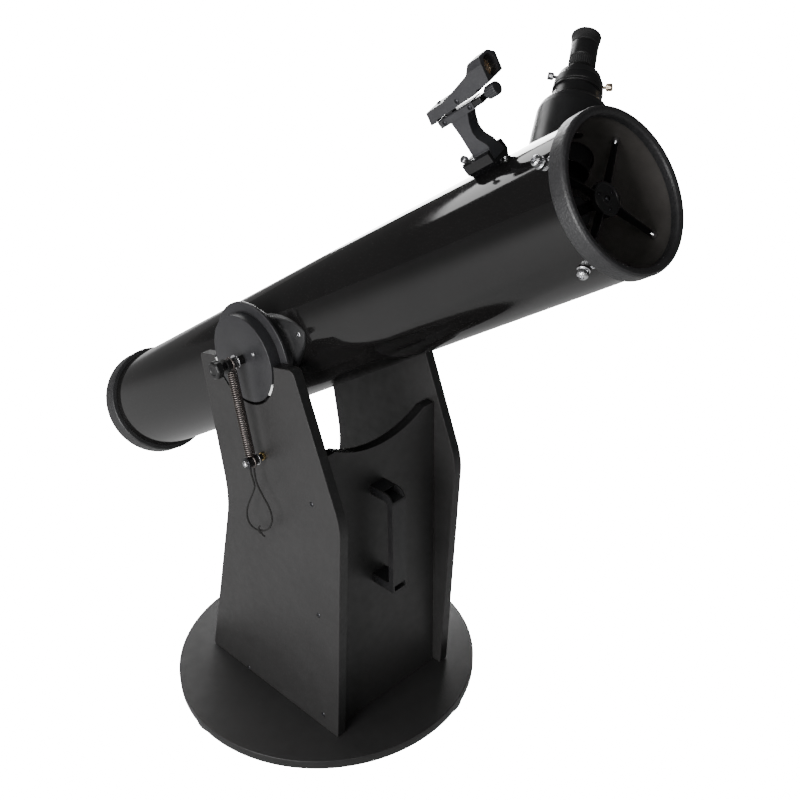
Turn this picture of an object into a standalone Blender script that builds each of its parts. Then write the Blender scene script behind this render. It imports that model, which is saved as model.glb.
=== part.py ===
"""Dobsonian reflector: 152 mm aperture, 1200 mm focal length, on a rocker box made of boards.

Metres, +Z up.  The front of the telescope (the open end of the tube) faces -Y.
The azimuth axis is vertical through (0, AZIMUTH_Y); the floor is z = 0.
"""
import math

import bmesh
import bpy
from mathutils import Matrix, Vector

# ---------------------------------------------------------------- driving dimensions
GAP = 0.0003                 # clearance left between touching pieces
AZIMUTH_Y = 0.0291           # azimuth axis, so that the whole box is centred on Y = 0

# ground board, feet and pads
FOOT_H = 0.026
FOOT_REACH = 0.196
BOARD_T = 0.016
CORNER_R = 0.050             # radius of each rounded corner of the ground board
CORNER_REACH = 0.205         # from the azimuth axis to the centre of each rounded corner
CORNER_ANGLES = (170.0, 290.0, 50.0)
PAD_SPACE = 0.003            # height taken by the azimuth pads

# rocker box
DISC_R = 0.2606
DISC_T = 0.0165
SIDE_OUTER = 0.1294          # outer face of each side board
SIDE_T = 0.016
FRONT_FACE_Y = -0.1520       # front face of the front board, from the azimuth axis
ALTITUDE_H = 0.6251          # altitude axis above the rocker disc
ALTITUDE_DY = -0.0021        # altitude axis, from the azimuth axis
NOTCH_R = 0.0695

# optical tube, measured along its axis from the altitude axis (front is positive)
TUBE_ALTITUDE = math.radians(32.21)
TUBE_R = 0.090
TUBE_WALL = 0.0010
FRONT_END = 0.6253
REAR_END = -0.5589
FRONT_RING_R = 0.0946
FRONT_RING_L = 0.0228
REAR_RING_R = 0.0986
REAR_RING_L = 0.0348
RING_LIP = 0.0040
TUBE_SIDES = 48
KNOB_END = -0.5560           # rear end of the collimation knobs

# optics
MIRROR_R = 0.076
MIRROR_FACE = -0.4920
MIRROR_T = 0.024
FOCAL_LENGTH = 1.200
SECONDARY_R = 0.0175

# bearings
BEARING_R = 0.0657
BEARING_FACE = 0.1294        # outer face, level with the side boards
FLANGE_R = 0.0805

# spider
SPIDER_S = 0.5940
NUT_S = 0.5875               # station of the outer ends of the vanes
VANE_ANGLES = (41.0, 139.0, 221.0, 319.0)
HUB_R = 0.0195

# focuser: station on the tube, angle round it and radial levels from the tube's axis
FOCUS_S = 0.5200
FOCUS_ANGLE = 47.0
BELL_R = 0.0455
BELL_TOP = 0.1620
DRAWTUBE_R = 0.0285
DRAWTUBE_LOW = 0.0655
COLLAR_LOW = 0.1775
COLLAR_STEP = 0.1930
COLLAR_TOP = 0.2040
EYECUP_LOW = 0.2505
EYECUP_TOP = 0.2655
SHAFT_OFFSET = 0.0358
SHAFT_LEVEL = 0.1080
KNOB_X = 0.0380
SHAFT_R = 0.0030
EYEPIECE_BARREL_R = 0.0158
EYEPIECE_R = 0.0166
UPPER_SCREW_ANGLE = 235.0
LOWER_SCREW_ANGLE = 35.0

# finder: angle round the tube, stations along it and levels from the tube's axis
FINDER_ANGLE = 110.0
SHOE_S = (0.4680, 0.5110)
SHOE_HALF = 0.0165
SHOE_TOP = 0.1110
SHOE_SCREW_LEAN = 40.0
RAIL_REAR = 0.4720
RAIL_FRONT = 0.5420
RAIL_LOW = 0.1570
RAIL_TOP = 0.1660
AIM_KNOB_LEVEL = 0.1625
SIGHT_PIVOT = (0.4890, 0.1620)
WINDOW_R = 0.0110
WINDOW_LEVEL = 0.0245        # from the sight's tilt pivot

# spring tensioners
SPRING_X = 0.1514            # middle plane of each spring
LOWER_POST = (-0.0330, 0.4765)   # from the azimuth axis, above the rocker disc
COIL_R = 0.0077
WIRE_R = 0.0011
EYE_R = 0.0095               # middle of the wire in the eye at each end of a spring
BUSHING_R = 0.0078           # what the eyes hook round
CORD_R = 0.0014

# carry handle, levels above the rocker disc
HANDLE_X = -0.0120
HANDLE_W = 0.029
HANDLE_REACH = 0.046
HANDLE_STRAP = 0.010
HANDLE_LEVELS = (0.2500, 0.4290)

# scooped top edge of the front board
SCOOP_R = 0.1745
SCOOP_HALF_WIDTH = 0.090
SCOOP_BOTTOM = 0.491

# heights that follow
BOARD_LOW = FOOT_H
BOARD_TOP = BOARD_LOW + BOARD_T
DISC_LOW = BOARD_TOP + PAD_SPACE
DISC_TOP = DISC_LOW + DISC_T
ALTITUDE_Z = DISC_TOP + ALTITUDE_H
ALTITUDE_Y = AZIMUTH_Y + ALTITUDE_DY
SIDE_INNER = SIDE_OUTER - SIDE_T
INNER_R = TUBE_R - TUBE_WALL

# ---------------------------------------------------------------- scene and materials
for old in list(bpy.data.objects):
    bpy.data.objects.remove(old, do_unlink=True)


def material(name, colour, roughness, metallic=0.0):
    """A Principled material in one colour."""
    made = bpy.data.materials.new(name)
    made.use_nodes = True
    shader = made.node_tree.nodes["Principled BSDF"]
    shader.inputs["Base Color"].default_value = (*colour, 1.0)
    shader.inputs["Roughness"].default_value = roughness
    shader.inputs["Metallic"].default_value = metallic
    return made


LAMINATE = material("black_laminate", (0.030, 0.029, 0.030), 0.55)
ENAMEL = material("black_enamel", (0.012, 0.012, 0.014), 0.18)
PLASTIC = material("black_plastic", (0.022, 0.022, 0.024), 0.45)
GREY_PLASTIC = material("grey_plastic", (0.070, 0.070, 0.078), 0.50)
RUBBER = material("black_rubber", (0.018, 0.018, 0.018), 0.80)
PTFE = material("white_ptfe", (0.85, 0.85, 0.83), 0.45)
STEEL = material("bright_steel", (0.62, 0.62, 0.64), 0.25, 1.0)
SPRING_STEEL = material("spring_steel", (0.20, 0.18, 0.17), 0.35, 1.0)
MIRROR = material("silvered_glass", (0.90, 0.92, 0.94), 0.03, 1.0)
GLASS = material("coated_glass", (0.55, 0.45, 0.40), 0.05)
BRAIDED = material("black_cord", (0.015, 0.015, 0.015), 0.85)


# ---------------------------------------------------------------- shape helpers
def frame(name, matrix, parent=None):
    """An empty that carries pieces."""
    empty = bpy.data.objects.new(name, None)
    bpy.context.collection.objects.link(empty)
    empty.parent = parent
    empty.matrix_local = matrix
    return empty


def place(name, shape, surface, parent=None, at=(0.0, 0.0, 0.0), turn=None):
    """Turn a bmesh into a named object with outward faces and smooth round sides."""
    bmesh.ops.recalc_face_normals(shape, faces=shape.faces)
    mesh = bpy.data.meshes.new(name)
    shape.to_mesh(mesh)
    shape.free()
    mesh.shade_smooth()
    mesh.set_sharp_from_angle(angle=math.radians(35.0))
    mesh.materials.append(surface)
    made = bpy.data.objects.new(name, mesh)
    bpy.context.collection.objects.link(made)
    made.parent = parent
    rotation = turn if turn is not None else Matrix.Identity(4)
    made.matrix_local = Matrix.Translation(at) @ rotation
    return made


def turned(profile, sides=32):
    """Turn a closed profile of (radius, height) points about Z."""
    shape = bmesh.new()
    rings = []
    for radius, height in profile:
        if radius < 1e-7:
            rings.append([shape.verts.new((0.0, 0.0, height))])
            continue
        angles = [2.0 * math.pi * i / sides for i in range(sides)]
        ring = [shape.verts.new((radius * math.cos(a), radius * math.sin(a), height)) for a in angles]
        rings.append(ring)
    for low, high in zip(rings, rings[1:] + rings[:1]):
        if len(low) == 1 and len(high) == 1:
            continue
        for i in range(sides):
            j = (i + 1) % sides
            corners = [low[0]] if len(low) == 1 else [low[i], low[j]]
            corners += [high[0]] if len(high) == 1 else [high[j], high[i]]
            shape.faces.new(corners)
    return shape


def rod(radius, low, high, sides=24):
    """A solid cylinder on Z."""
    return turned([(0.0, low), (radius, low), (radius, high), (0.0, high)], sides)


def pipe(outer, inner, low, high, sides=32):
    """A hollow cylinder on Z."""
    return turned([(inner, low), (outer, low), (outer, high), (inner, high)], sides)


def block(low, high):
    """A box between two corners."""
    shape = bmesh.new()
    bmesh.ops.create_cube(shape, size=1.0)
    size = Vector(high) - Vector(low)
    middle = (Vector(high) + Vector(low)) / 2.0
    bmesh.ops.scale(shape, vec=size, verts=shape.verts)
    bmesh.ops.translate(shape, vec=middle, verts=shape.verts)
    return shape


def prism(outline, low, high):
    """Extrude an outline of (x, y) points along Z."""
    shape = bmesh.new()
    face = shape.faces.new([shape.verts.new((x, y, low)) for x, y in outline])
    grown = bmesh.ops.extrude_face_region(shape, geom=[face])
    lifted = [item for item in grown["geom"] if isinstance(item, bmesh.types.BMVert)]
    bmesh.ops.translate(shape, vec=(0.0, 0.0, high - low), verts=lifted)
    return shape


def loft(rings):
    """Join rings of points that have equal counts and cap both ends."""
    shape = bmesh.new()
    made = [[shape.verts.new(point) for point in ring] for ring in rings]
    for low, high in zip(made, made[1:]):
        for i in range(len(low)):
            j = (i + 1) % len(low)
            shape.faces.new((low[i], low[j], high[j], high[i]))
    shape.faces.new(made[0])
    shape.faces.new(made[-1])
    return shape


def arc(centre, radius, start, end, steps):
    """Points on an arc, angles in degrees."""
    angles = [math.radians(start + (end - start) * i / steps) for i in range(steps + 1)]
    return [(centre[0] + radius * math.cos(a), centre[1] + radius * math.sin(a)) for a in angles]


def rounded(points, radii, steps=6):
    """Round the corners of an outline; a radius of zero keeps the corner."""
    outline = []
    count = len(points)
    for i, (point, radius) in enumerate(zip(points, radii)):
        corner = Vector(point)
        if radius == 0.0:
            outline.append(tuple(corner))
            continue
        back = (Vector(points[i - 1]) - corner).normalized()
        ahead = (Vector(points[(i + 1) % count]) - corner).normalized()
        half = back.angle(ahead) / 2.0
        centre = corner + (back + ahead).normalized() * radius / math.sin(half)
        first = corner + back * radius / math.tan(half) - centre
        last = corner + ahead * radius / math.tan(half) - centre
        start = math.atan2(first.y, first.x)
        sweep = math.remainder(math.atan2(last.y, last.x) - start, 2.0 * math.pi)
        for k in range(steps + 1):
            angle = start + sweep * k / steps
            outline.append((centre.x + radius * math.cos(angle), centre.y + radius * math.sin(angle)))
    return outline


def cutter(shape, parent=None, at=(0.0, 0.0, 0.0), turn=None):
    """A hidden guide body for a Boolean."""
    guide = place("guide", shape, PLASTIC, parent, at, turn)
    guide.hide_render = True
    guide.display_type = "WIRE"
    return guide


def combine(target, guide, operation):
    """Add a Boolean modifier."""
    step = target.modifiers.new(operation.lower(), "BOOLEAN")
    step.operation = operation
    step.solver = "EXACT"
    step.object = guide


def soften(target, width):
    """Break the sharp edges of a board or block."""
    step = target.modifiers.new("edges", "BEVEL")
    step.width = width
    step.segments = 1
    step.limit_method = "ANGLE"
    step.angle_limit = math.radians(40.0)


ALONG_X = Matrix.Rotation(math.radians(90.0), 4, "Y")       # local Z points to +X
ALONG_MINUS_X = Matrix.Rotation(math.radians(-90.0), 4, "Y")


# ---------------------------------------------------------------- ground board
def ground_parts():
    """The three-cornered board on the floor, its feet, its pads and the pivot bolt."""
    base = frame("azimuth_axis", Matrix.Translation((0.0, AZIMUTH_Y, 0.0)))
    outline = []
    for angle in sorted(CORNER_ANGLES):
        a = math.radians(angle)
        centre = (CORNER_REACH * math.cos(a), CORNER_REACH * math.sin(a))
        outline += arc(centre, CORNER_R, angle - 60.0, angle + 60.0, 12)
    board = place("ground_board", prism(outline, BOARD_LOW, BOARD_TOP), LAMINATE, base)
    soften(board, 0.0008)
    combine(board, cutter(rod(0.0056, 0.0, 0.2, 20), base), "DIFFERENCE")
    pad_top = PAD_SPACE - GAP
    for number, angle in enumerate(CORNER_ANGLES, 1):
        a = math.radians(angle)
        spot = (FOOT_REACH * math.cos(a), FOOT_REACH * math.sin(a), 0.0)
        foot = [(0.0, 0.0), (0.0150, 0.0), (0.0165, 0.0015), (0.0190, FOOT_H - 0.004),
                (0.0190, FOOT_H - GAP), (0.0, FOOT_H - GAP)]
        place(f"foot_{number}", turned(foot, 20), RUBBER, base, spot)
        turn = Matrix.Rotation(a, 4, "Z")
        pad = block((-0.012, -0.018, GAP), (0.012, 0.018, pad_top))
        place(f"azimuth_pad_{number}", pad, PTFE, base, (spot[0], spot[1], BOARD_TOP), turn)
    stem_top = DISC_TOP + 0.016
    bolt = [(0.0, BOARD_LOW - 0.0065), (0.0092, BOARD_LOW - 0.0065), (0.0092, BOARD_LOW - GAP),
            (0.0050, BOARD_LOW - GAP), (0.0050, stem_top - 0.001), (0.0040, stem_top), (0.0, stem_top)]
    place("azimuth_pivot_bolt", turned(bolt, 16), STEEL, base)
    nut_low = DISC_TOP + GAP
    nut = [(0.0053, nut_low), (0.0160, nut_low), (0.0160, nut_low + 0.002), (0.0095, nut_low + 0.002),
           (0.0095, nut_low + 0.009), (0.0080, nut_low + 0.0105), (0.0053, nut_low + 0.0105)]
    place("azimuth_lock_nut", turned(nut, 20), STEEL, base)
    return base


# ---------------------------------------------------------------- rocker box
BOARD_PLANE = Matrix(((0, 0, 1, 0), (1, 0, 0, 0), (0, 1, 0, 0), (0, 0, 0, 1)))   # x -> Y, y -> Z, z -> X


def side_board(name, side, base):
    """One side board; side is -1 for the board at -X and +1 for the other."""
    corners = [(0.1591, GAP), (0.0670, 0.3566), (0.1033, 0.6010), (-0.1135, 0.6452),
               (-0.1975, 0.4250), (-0.1696, GAP)]
    radii = [0.003, 0.200, 0.007, 0.010, 0.110, 0.003]
    inner = side * SIDE_INNER
    outer = side * SIDE_OUTER
    shape = prism(rounded(corners, radii, 7), min(inner, outer), max(inner, outer))
    board = place(name, shape, LAMINATE, base, turn=BOARD_PLANE)
    notch = arc((ALTITUDE_DY, ALTITUDE_H), NOTCH_R, 180.0, 360.0, 28)
    notch += [(ALTITUDE_DY + NOTCH_R, 0.8), (ALTITUDE_DY - NOTCH_R, 0.8)]
    combine(board, cutter(prism(notch, -0.2, 0.2), base, turn=BOARD_PLANE), "DIFFERENCE")
    spot = (0.0, LOWER_POST[0], LOWER_POST[1])
    combine(board, cutter(rod(0.0030, SIDE_OUTER - 0.0125, 0.2, 16), base, spot, ALONG_X
                          if side > 0 else ALONG_MINUS_X), "DIFFERENCE")
    soften(board, 0.0008)
    return board


def rocker_parts(azimuth):
    """Everything that turns about the azimuth axis but stays on the disc."""
    base = frame("rocker_frame", Matrix.Translation((0.0, 0.0, DISC_TOP)), azimuth)
    disc = [(0.0058, -DISC_T), (DISC_R, -DISC_T), (DISC_R, -0.0008), (DISC_R - 0.0008, 0.0), (0.0058, 0.0)]
    place("rocker_disc", turned(disc, 80), LAMINATE, base)
    side_board("left_side_board", -1.0, base)
    side_board("right_side_board", 1.0, base)
    front_board(base)
    carry_handle(base)
    for side, hand in ((-1.0, "left"), (1.0, "right")):
        for angle, end in ((-25.0, "rear"), (-155.0, "front")):
            inner_arc = arc((ALTITUDE_DY, ALTITUDE_H), BEARING_R + GAP, angle - 9.0, angle + 9.0, 6)
            outer_arc = arc((ALTITUDE_DY, ALTITUDE_H), NOTCH_R - GAP, angle + 9.0, angle - 9.0, 6)
            low, high = sorted((side * SIDE_INNER, side * SIDE_OUTER))
            pad = prism(inner_arc + outer_arc, low, high)
            place(f"altitude_pad_{hand}_{end}", pad, PTFE, base, turn=BOARD_PLANE)
        spring_parts(hand, side, base)
    return base


def front_board(base):
    """The board between the side boards, with a scooped top edge."""
    half = SIDE_INNER - GAP
    swing = math.degrees(math.asin(SCOOP_HALF_WIDTH / SCOOP_R))
    scoop = arc((0.0, SCOOP_BOTTOM + SCOOP_R), SCOOP_R, swing - 90.0, -swing - 90.0, 14)
    shoulder = scoop[0][1]
    outline = [(-half, GAP), (half, GAP), (half, shoulder)] + scoop + [(-half, shoulder)]
    upright = Matrix.Rotation(math.radians(90.0), 4, "X")
    board = place("front_board", prism(outline, 0.0, BOARD_T), LAMINATE, base,
                  (0.0, FRONT_FACE_Y + BOARD_T, 0.0), upright)
    soften(board, 0.0008)
    return board


def carry_handle(base):
    """A moulded pull on the front board: a flat bow, its arms screwed on from the front."""
    face = FRONT_FACE_Y - GAP
    reach = face - HANDLE_REACH
    low, high = HANDLE_LEVELS
    arm = 0.0150
    strap = HANDLE_STRAP
    corners = [(face, low), (reach, low), (reach, high), (face, high), (face, high - arm),
               (reach + strap, high - arm), (reach + strap, low + arm), (face, low + arm)]
    radii = [0.001, 0.003, 0.018, 0.001, 0.001, 0.008, 0.004, 0.001]
    half = HANDLE_W / 2.0
    shape = prism(rounded(corners, radii, 5), HANDLE_X - half, HANDLE_X + half)
    handle = place("carry_handle", shape, PLASTIC, base, turn=BOARD_PLANE)
    wall = 0.0028
    floor = face - 0.0120
    for middle in (low + arm / 2.0, high - arm / 2.0):
        pocket = block((HANDLE_X - half + wall, reach - 0.01, middle - arm / 2.0 + wall),
                       (HANDLE_X + half - wall, floor, middle + arm / 2.0 - wall))
        combine(handle, cutter(pocket, base), "DIFFERENCE")


def spring_parts(hand, side, base):
    """The lower post, the close-wound tension spring and its pull cord on one side."""
    outward = ALONG_X if side > 0 else ALONG_MINUS_X
    spot = (0.0, LOWER_POST[0], LOWER_POST[1])
    post = [(0.0, 0.1180), (0.0027, 0.1180), (0.0027, SIDE_OUTER + GAP), (0.0062, SIDE_OUTER + GAP),
            (0.0062, 0.1330), (0.0048, 0.1330), (0.0048, 0.1415), (0.0095, 0.1415), (0.0095, 0.1427),
            (BUSHING_R, 0.1427), (BUSHING_R, 0.1601), (0.0088, 0.1601), (0.0088, 0.1614),
            (0.0052, 0.1614), (0.0048, 0.1658), (0.0030, 0.1676), (0.0, 0.1676)]
    place(f"spring_post_{hand}", turned(post, 16), PLASTIC, base, spot, outward)

    lower = Vector((side * SPRING_X, LOWER_POST[0], LOWER_POST[1]))
    upper = Vector((side * SPRING_X, ALTITUDE_DY, ALTITUDE_H))
    span = (upper - lower).length
    lean = Matrix.Rotation(math.atan2(lower.y - upper.y, upper.z - lower.z), 4, "X")
    middle = tuple((lower + upper) / 2.0)
    end = span / 2.0 - BUSHING_R - 0.0006
    spring = place(f"tension_spring_{hand}", pipe(COIL_R, COIL_R - 2.0 * WIRE_R, -end, end, 16),
                   SPRING_STEEL, base, middle, lean)
    for level in (-span / 2.0, span / 2.0):
        eye = turned([(EYE_R + WIRE_R * math.cos(a), WIRE_R * math.sin(a))
                      for a in (2.0 * math.pi * i / 5.0 for i in range(5))], 20)
        shift = lean @ Matrix.Translation((0.0, 0.0, level)) @ ALONG_X
        combine(spring, cutter(eye, base, middle, shift), "UNION")
    pull_cord(hand, side, base, lower)


def pull_cord(hand, side, base, eye):
    """A loop of thin cord that hangs from the lower eye of the spring."""
    start = -(EYE_R + WIRE_R + GAP + 0.0002)
    route = [(0.0016, 0.0022, start), (0.0016, 0.0020, -0.0210), (0.0016, -0.0015, -0.0310),
             (0.0016, -0.0040, -0.0410), (0.0014, 0.0015, -0.0540), (0.0008, 0.0115, -0.0720),
             (0.0004, 0.0205, -0.0900), (0.0, 0.0245, -0.1060), (0.0, 0.0210, -0.1190),
             (0.0, 0.0105, -0.1240), (0.0, -0.0060, -0.1215), (-0.0002, -0.0200, -0.1135),
             (-0.0006, -0.0315, -0.1005), (-0.0010, -0.0365, -0.0845), (-0.0014, -0.0310, -0.0680),
             (-0.0016, -0.0190, -0.0550), (-0.0018, -0.0080, -0.0420), (-0.0018, -0.0035, -0.0310),
             (-0.0016, -0.0022, -0.0210), (-0.0016, -0.0022, start)]
    points = [eye + Vector((side * x, y, z)) for x, y, z in route]
    smooth = smooth_line(points, 0.0062)
    curve = bpy.data.curves.new(f"pull_cord_{hand}", "CURVE")
    curve.dimensions = "3D"
    curve.bevel_depth = CORD_R
    curve.bevel_resolution = 2
    curve.use_fill_caps = True
    spline = curve.splines.new("POLY")
    spline.points.add(len(smooth) - 1)
    for spot, point in zip(spline.points, smooth):
        spot.co = (*point, 1.0)
    curve.materials.append(BRAIDED)
    cord = bpy.data.objects.new(f"pull_cord_{hand}", curve)
    bpy.context.collection.objects.link(cord)
    cord.parent = base


def smooth_line(points, step):
    """Even points along a Catmull-Rom curve through the given points."""
    ends = [points[0] * 2.0 - points[1]] + points + [points[-1] * 2.0 - points[-2]]
    fine = []
    for a, b, c, d in zip(ends, ends[1:], ends[2:], ends[3:]):
        for k in range(24):
            t = k / 24.0
            fine.append(0.5 * (2.0 * b + (c - a) * t + (2.0 * a - 5.0 * b + 4.0 * c - d) * t ** 2
                               + (3.0 * b - a - 3.0 * c + d) * t ** 3))
    fine.append(points[-1])
    total = sum((q - p).length for p, q in zip(fine, fine[1:]))
    count = round(total / step)
    line = [fine[0]]
    walked = 0.0
    for p, q in zip(fine, fine[1:]):
        length = (q - p).length
        while len(line) < count and walked + length >= total * len(line) / count:
            line.append(p.lerp(q, (total * len(line) / count - walked) / length))
        walked += length
    line.append(fine[-1])
    return line


# ---------------------------------------------------------------- optical tube
def radial(station, angle):
    """Frame on the tube: X along the tube to the front, Z straight out at this angle."""
    a = math.radians(angle)
    return Matrix(((0.0, math.sin(a), math.cos(a), 0.0),
                   (0.0, -math.cos(a), math.sin(a), 0.0),
                   (1.0, 0.0, 0.0, station),
                   (0.0, 0.0, 0.0, 1.0)))


def end_ring(name, outer, length, mouth, base):
    """A moulded ring that wraps the end of the tube; mouth is its outer end on the tube's axis."""
    outward = 1.0 if mouth > 0 else -1.0
    slot_out = TUBE_R + GAP
    slot_in = INNER_R - GAP
    bore = INNER_R - 0.0045
    profile = [(slot_out, -length), (outer, -length), (outer, -0.0020), (outer - 0.0020, 0.0),
               (bore + 0.0030, 0.0), (bore, -0.0030), (bore, -0.0120), (slot_in, -0.0120),
               (slot_in, -RING_LIP), (slot_out, -RING_LIP)]
    levels = [(radius, mouth + outward * height) for radius, height in profile]
    return place(name, turned(levels, TUBE_SIDES), PLASTIC, base)


def tube_shell(base):
    """The rolled steel tube with its cut-outs."""
    shell = pipe(TUBE_R, INNER_R, REAR_END + RING_LIP + GAP, FRONT_END - RING_LIP - GAP, TUBE_SIDES)
    tube = place("optical_tube", shell, ENAMEL, base)
    hole = rod(DRAWTUBE_R + 0.0030, 0.05, 0.12, 32)
    combine(tube, cutter(hole, base, turn=radial(FOCUS_S, FOCUS_ANGLE)), "DIFFERENCE")
    for angle in VANE_ANGLES:
        combine(tube, cutter(rod(0.0024, 0.07, 0.12, 12), base, turn=radial(NUT_S, angle)),
                "DIFFERENCE")


def lozenge(level, half_length, half_width, power, count=40):
    """A ring of points across the bearing axis, stretched along the tube."""
    ring = []
    for i in range(count):
        a = 2.0 * math.pi * i / count
        c, s = math.cos(a), math.sin(a)
        along = math.copysign(abs(c) ** (2.0 / power), c) * half_length
        across = math.copysign(abs(s) ** (2.0 / power), s) * half_width
        ring.append((level, across, along))
    return ring


def bearing(hand, side, base):
    """A moulded altitude bearing: saddle on the tube, guide flange and running drum."""
    rings = [lozenge(side * 0.0560, 0.1150, 0.0600, 1.6), lozenge(side * 0.0945, 0.1150, 0.0600, 1.6),
             lozenge(side * 0.0970, 0.1110, 0.0575, 1.6), lozenge(side * 0.1065, 0.0760, 0.0720, 2.0),
             lozenge(side * 0.1075, FLANGE_R, FLANGE_R, 2.0), lozenge(side * 0.1120, FLANGE_R, FLANGE_R, 2.0),
             lozenge(side * 0.1124, BEARING_R, BEARING_R, 2.0),
             lozenge(side * (BEARING_FACE - 0.0012), BEARING_R, BEARING_R, 2.0),
             lozenge(side * BEARING_FACE, BEARING_R - 0.0012, BEARING_R - 0.0012, 2.0)]
    drum = place(f"altitude_bearing_{hand}", loft(rings), PLASTIC, base)
    combine(drum, cutter(rod(TUBE_R + GAP, -0.3, 0.3, TUBE_SIDES), base), "DIFFERENCE")
    outward = ALONG_X if side > 0 else ALONG_MINUS_X
    combine(drum, cutter(rod(0.0034, 0.1120, 0.2, 16), base, turn=outward), "DIFFERENCE")
    knob = [(0.0, 0.1130), (0.0030, 0.1130), (0.0030, BEARING_FACE + GAP),
            (0.0065, BEARING_FACE + GAP), (0.0062, 0.1412), (0.0110, 0.1412), (0.0110, 0.1426),
            (BUSHING_R, 0.1426), (BUSHING_R, 0.1602), (0.0110, 0.1602), (0.0110, 0.1616),
            (0.0058, 0.1616), (0.0058, 0.1690), (0.0136, 0.1705), (0.0136, 0.1800),
            (0.0120, 0.1815), (0.0, 0.1815)]
    place(f"bearing_knob_{hand}", turned(knob, 20), PLASTIC, base, turn=outward)


def mirror_parts(base):
    """The rear cell, the support plate, the primary mirror and the three collimation knobs."""
    steps = 4
    radius = 2.0 * FOCAL_LENGTH
    dish = [MIRROR_R * (1.0 - i / steps) for i in range(steps + 1)]
    face = [(r, MIRROR_FACE - (MIRROR_R ** 2 - r ** 2) / (2.0 * radius)) for r in dish]
    back = MIRROR_FACE - MIRROR_T
    place("primary_mirror", turned([(0.0, back), (MIRROR_R, back)] + face, 44), MIRROR, base)
    plate_top = back - GAP
    plate_low = plate_top - 0.005
    plate = place("mirror_support_plate", rod(0.0740, plate_low, plate_top, 36), PLASTIC, base)
    cell_top = plate_low - 0.007
    cell_low = cell_top - 0.010
    cell_rim = INNER_R - 0.0050
    cell = place("mirror_cell", pipe(cell_rim, cell_rim - 0.008, cell_low, cell_top, 40), PLASTIC, base)
    hub = rod(0.018, cell_low, cell_top, 20)
    combine(cell, cutter(hub, base), "UNION")
    for number, angle in enumerate((90.0, 210.0, 330.0), 1):
        spoke = Matrix.Rotation(math.radians(angle), 4, "Z")
        arm = block((0.0, -0.013, cell_low), (cell_rim - 0.002, 0.013, cell_top))
        combine(cell, cutter(arm, base, turn=spoke), "UNION")
        a = math.radians(angle)
        spot = (0.058 * math.cos(a), 0.058 * math.sin(a), 0.0)
        for target in (cell, plate):
            hole = rod(0.0033, -0.6, plate_top - 0.0015, 12)
            combine(target, cutter(hole, base, spot), "DIFFERENCE")
        knob_top = cell_low - GAP
        knob = [(0.0, KNOB_END), (0.0088, KNOB_END), (0.0100, KNOB_END + 0.0012),
                (0.0100, knob_top - 0.0030), (0.0060, knob_top), (0.0030, knob_top),
                (0.0030, plate_top - 0.0020), (0.0, plate_top - 0.0020)]
        place(f"collimation_knob_{number}", turned(knob, 18), PLASTIC, base, spot)


def spider_parts(base):
    """Hub with four vanes, the nuts outside the tube, the secondary holder and its mirror."""
    hub = rod(HUB_R, SPIDER_S - 0.004, SPIDER_S + 0.004, 28)
    spider = place("spider", hub, PLASTIC, base)
    for number, angle in enumerate(VANE_ANGLES, 1):
        station = radial(NUT_S, angle)
        vane = loft([[(-0.0030, -0.0006, 0.015), (0.0100, -0.0006, 0.015),
                      (0.0100, 0.0006, 0.015), (-0.0030, 0.0006, 0.015)],
                     [(-0.0040, -0.0006, INNER_R - 0.004), (0.0045, -0.0006, INNER_R - 0.004),
                      (0.0045, 0.0006, INNER_R - 0.004), (-0.0040, 0.0006, INNER_R - 0.004)]])
        combine(spider, cutter(vane, base, turn=station), "UNION")
        stud = rod(0.0020, INNER_R - 0.009, TUBE_R + 0.0080, 8)
        combine(spider, cutter(stud, base, turn=station), "UNION")
        low = TUBE_R + 0.0006
        nut = [(0.0024, low), (0.0075, low), (0.0075, low + 0.0012), (0.0064, low + 0.0014),
               (0.0064, low + 0.0100), (0.0024, low + 0.0100)]
        place(f"spider_nut_{number}", turned(nut, 18), STEEL, base, turn=station)

    a = math.radians(FOCUS_ANGLE)
    toward = Vector((math.cos(a), math.sin(a), 0.0))

    def slanted(radius, level, slope, sides=28):
        """A ring whose points climb toward the focuser when slope is 1."""
        ring = []
        for i in range(sides):
            angle = 2.0 * math.pi * i / sides
            point = Vector((radius * math.cos(angle), radius * math.sin(angle), level))
            point.z += slope * point.dot(toward)
            ring.append(point)
        return ring

    glass = 0.0070
    seat = FOCUS_S + glass + 2.0 * GAP
    shade = seat + SECONDARY_R + 0.012
    hub_low = SPIDER_S - 0.004 - GAP
    place("secondary_mirror", loft([slanted(SECONDARY_R, FOCUS_S, 1.0),
                                    slanted(SECONDARY_R, FOCUS_S + glass, 1.0)]), MIRROR, base)
    holder = [slanted(SECONDARY_R, seat, 1.0), slanted(SECONDARY_R, shade, 0.0),
              slanted(0.0060, shade + 0.001, 0.0), slanted(0.0060, hub_low, 0.0)]
    place("secondary_holder", loft(holder), PLASTIC, base)


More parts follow.
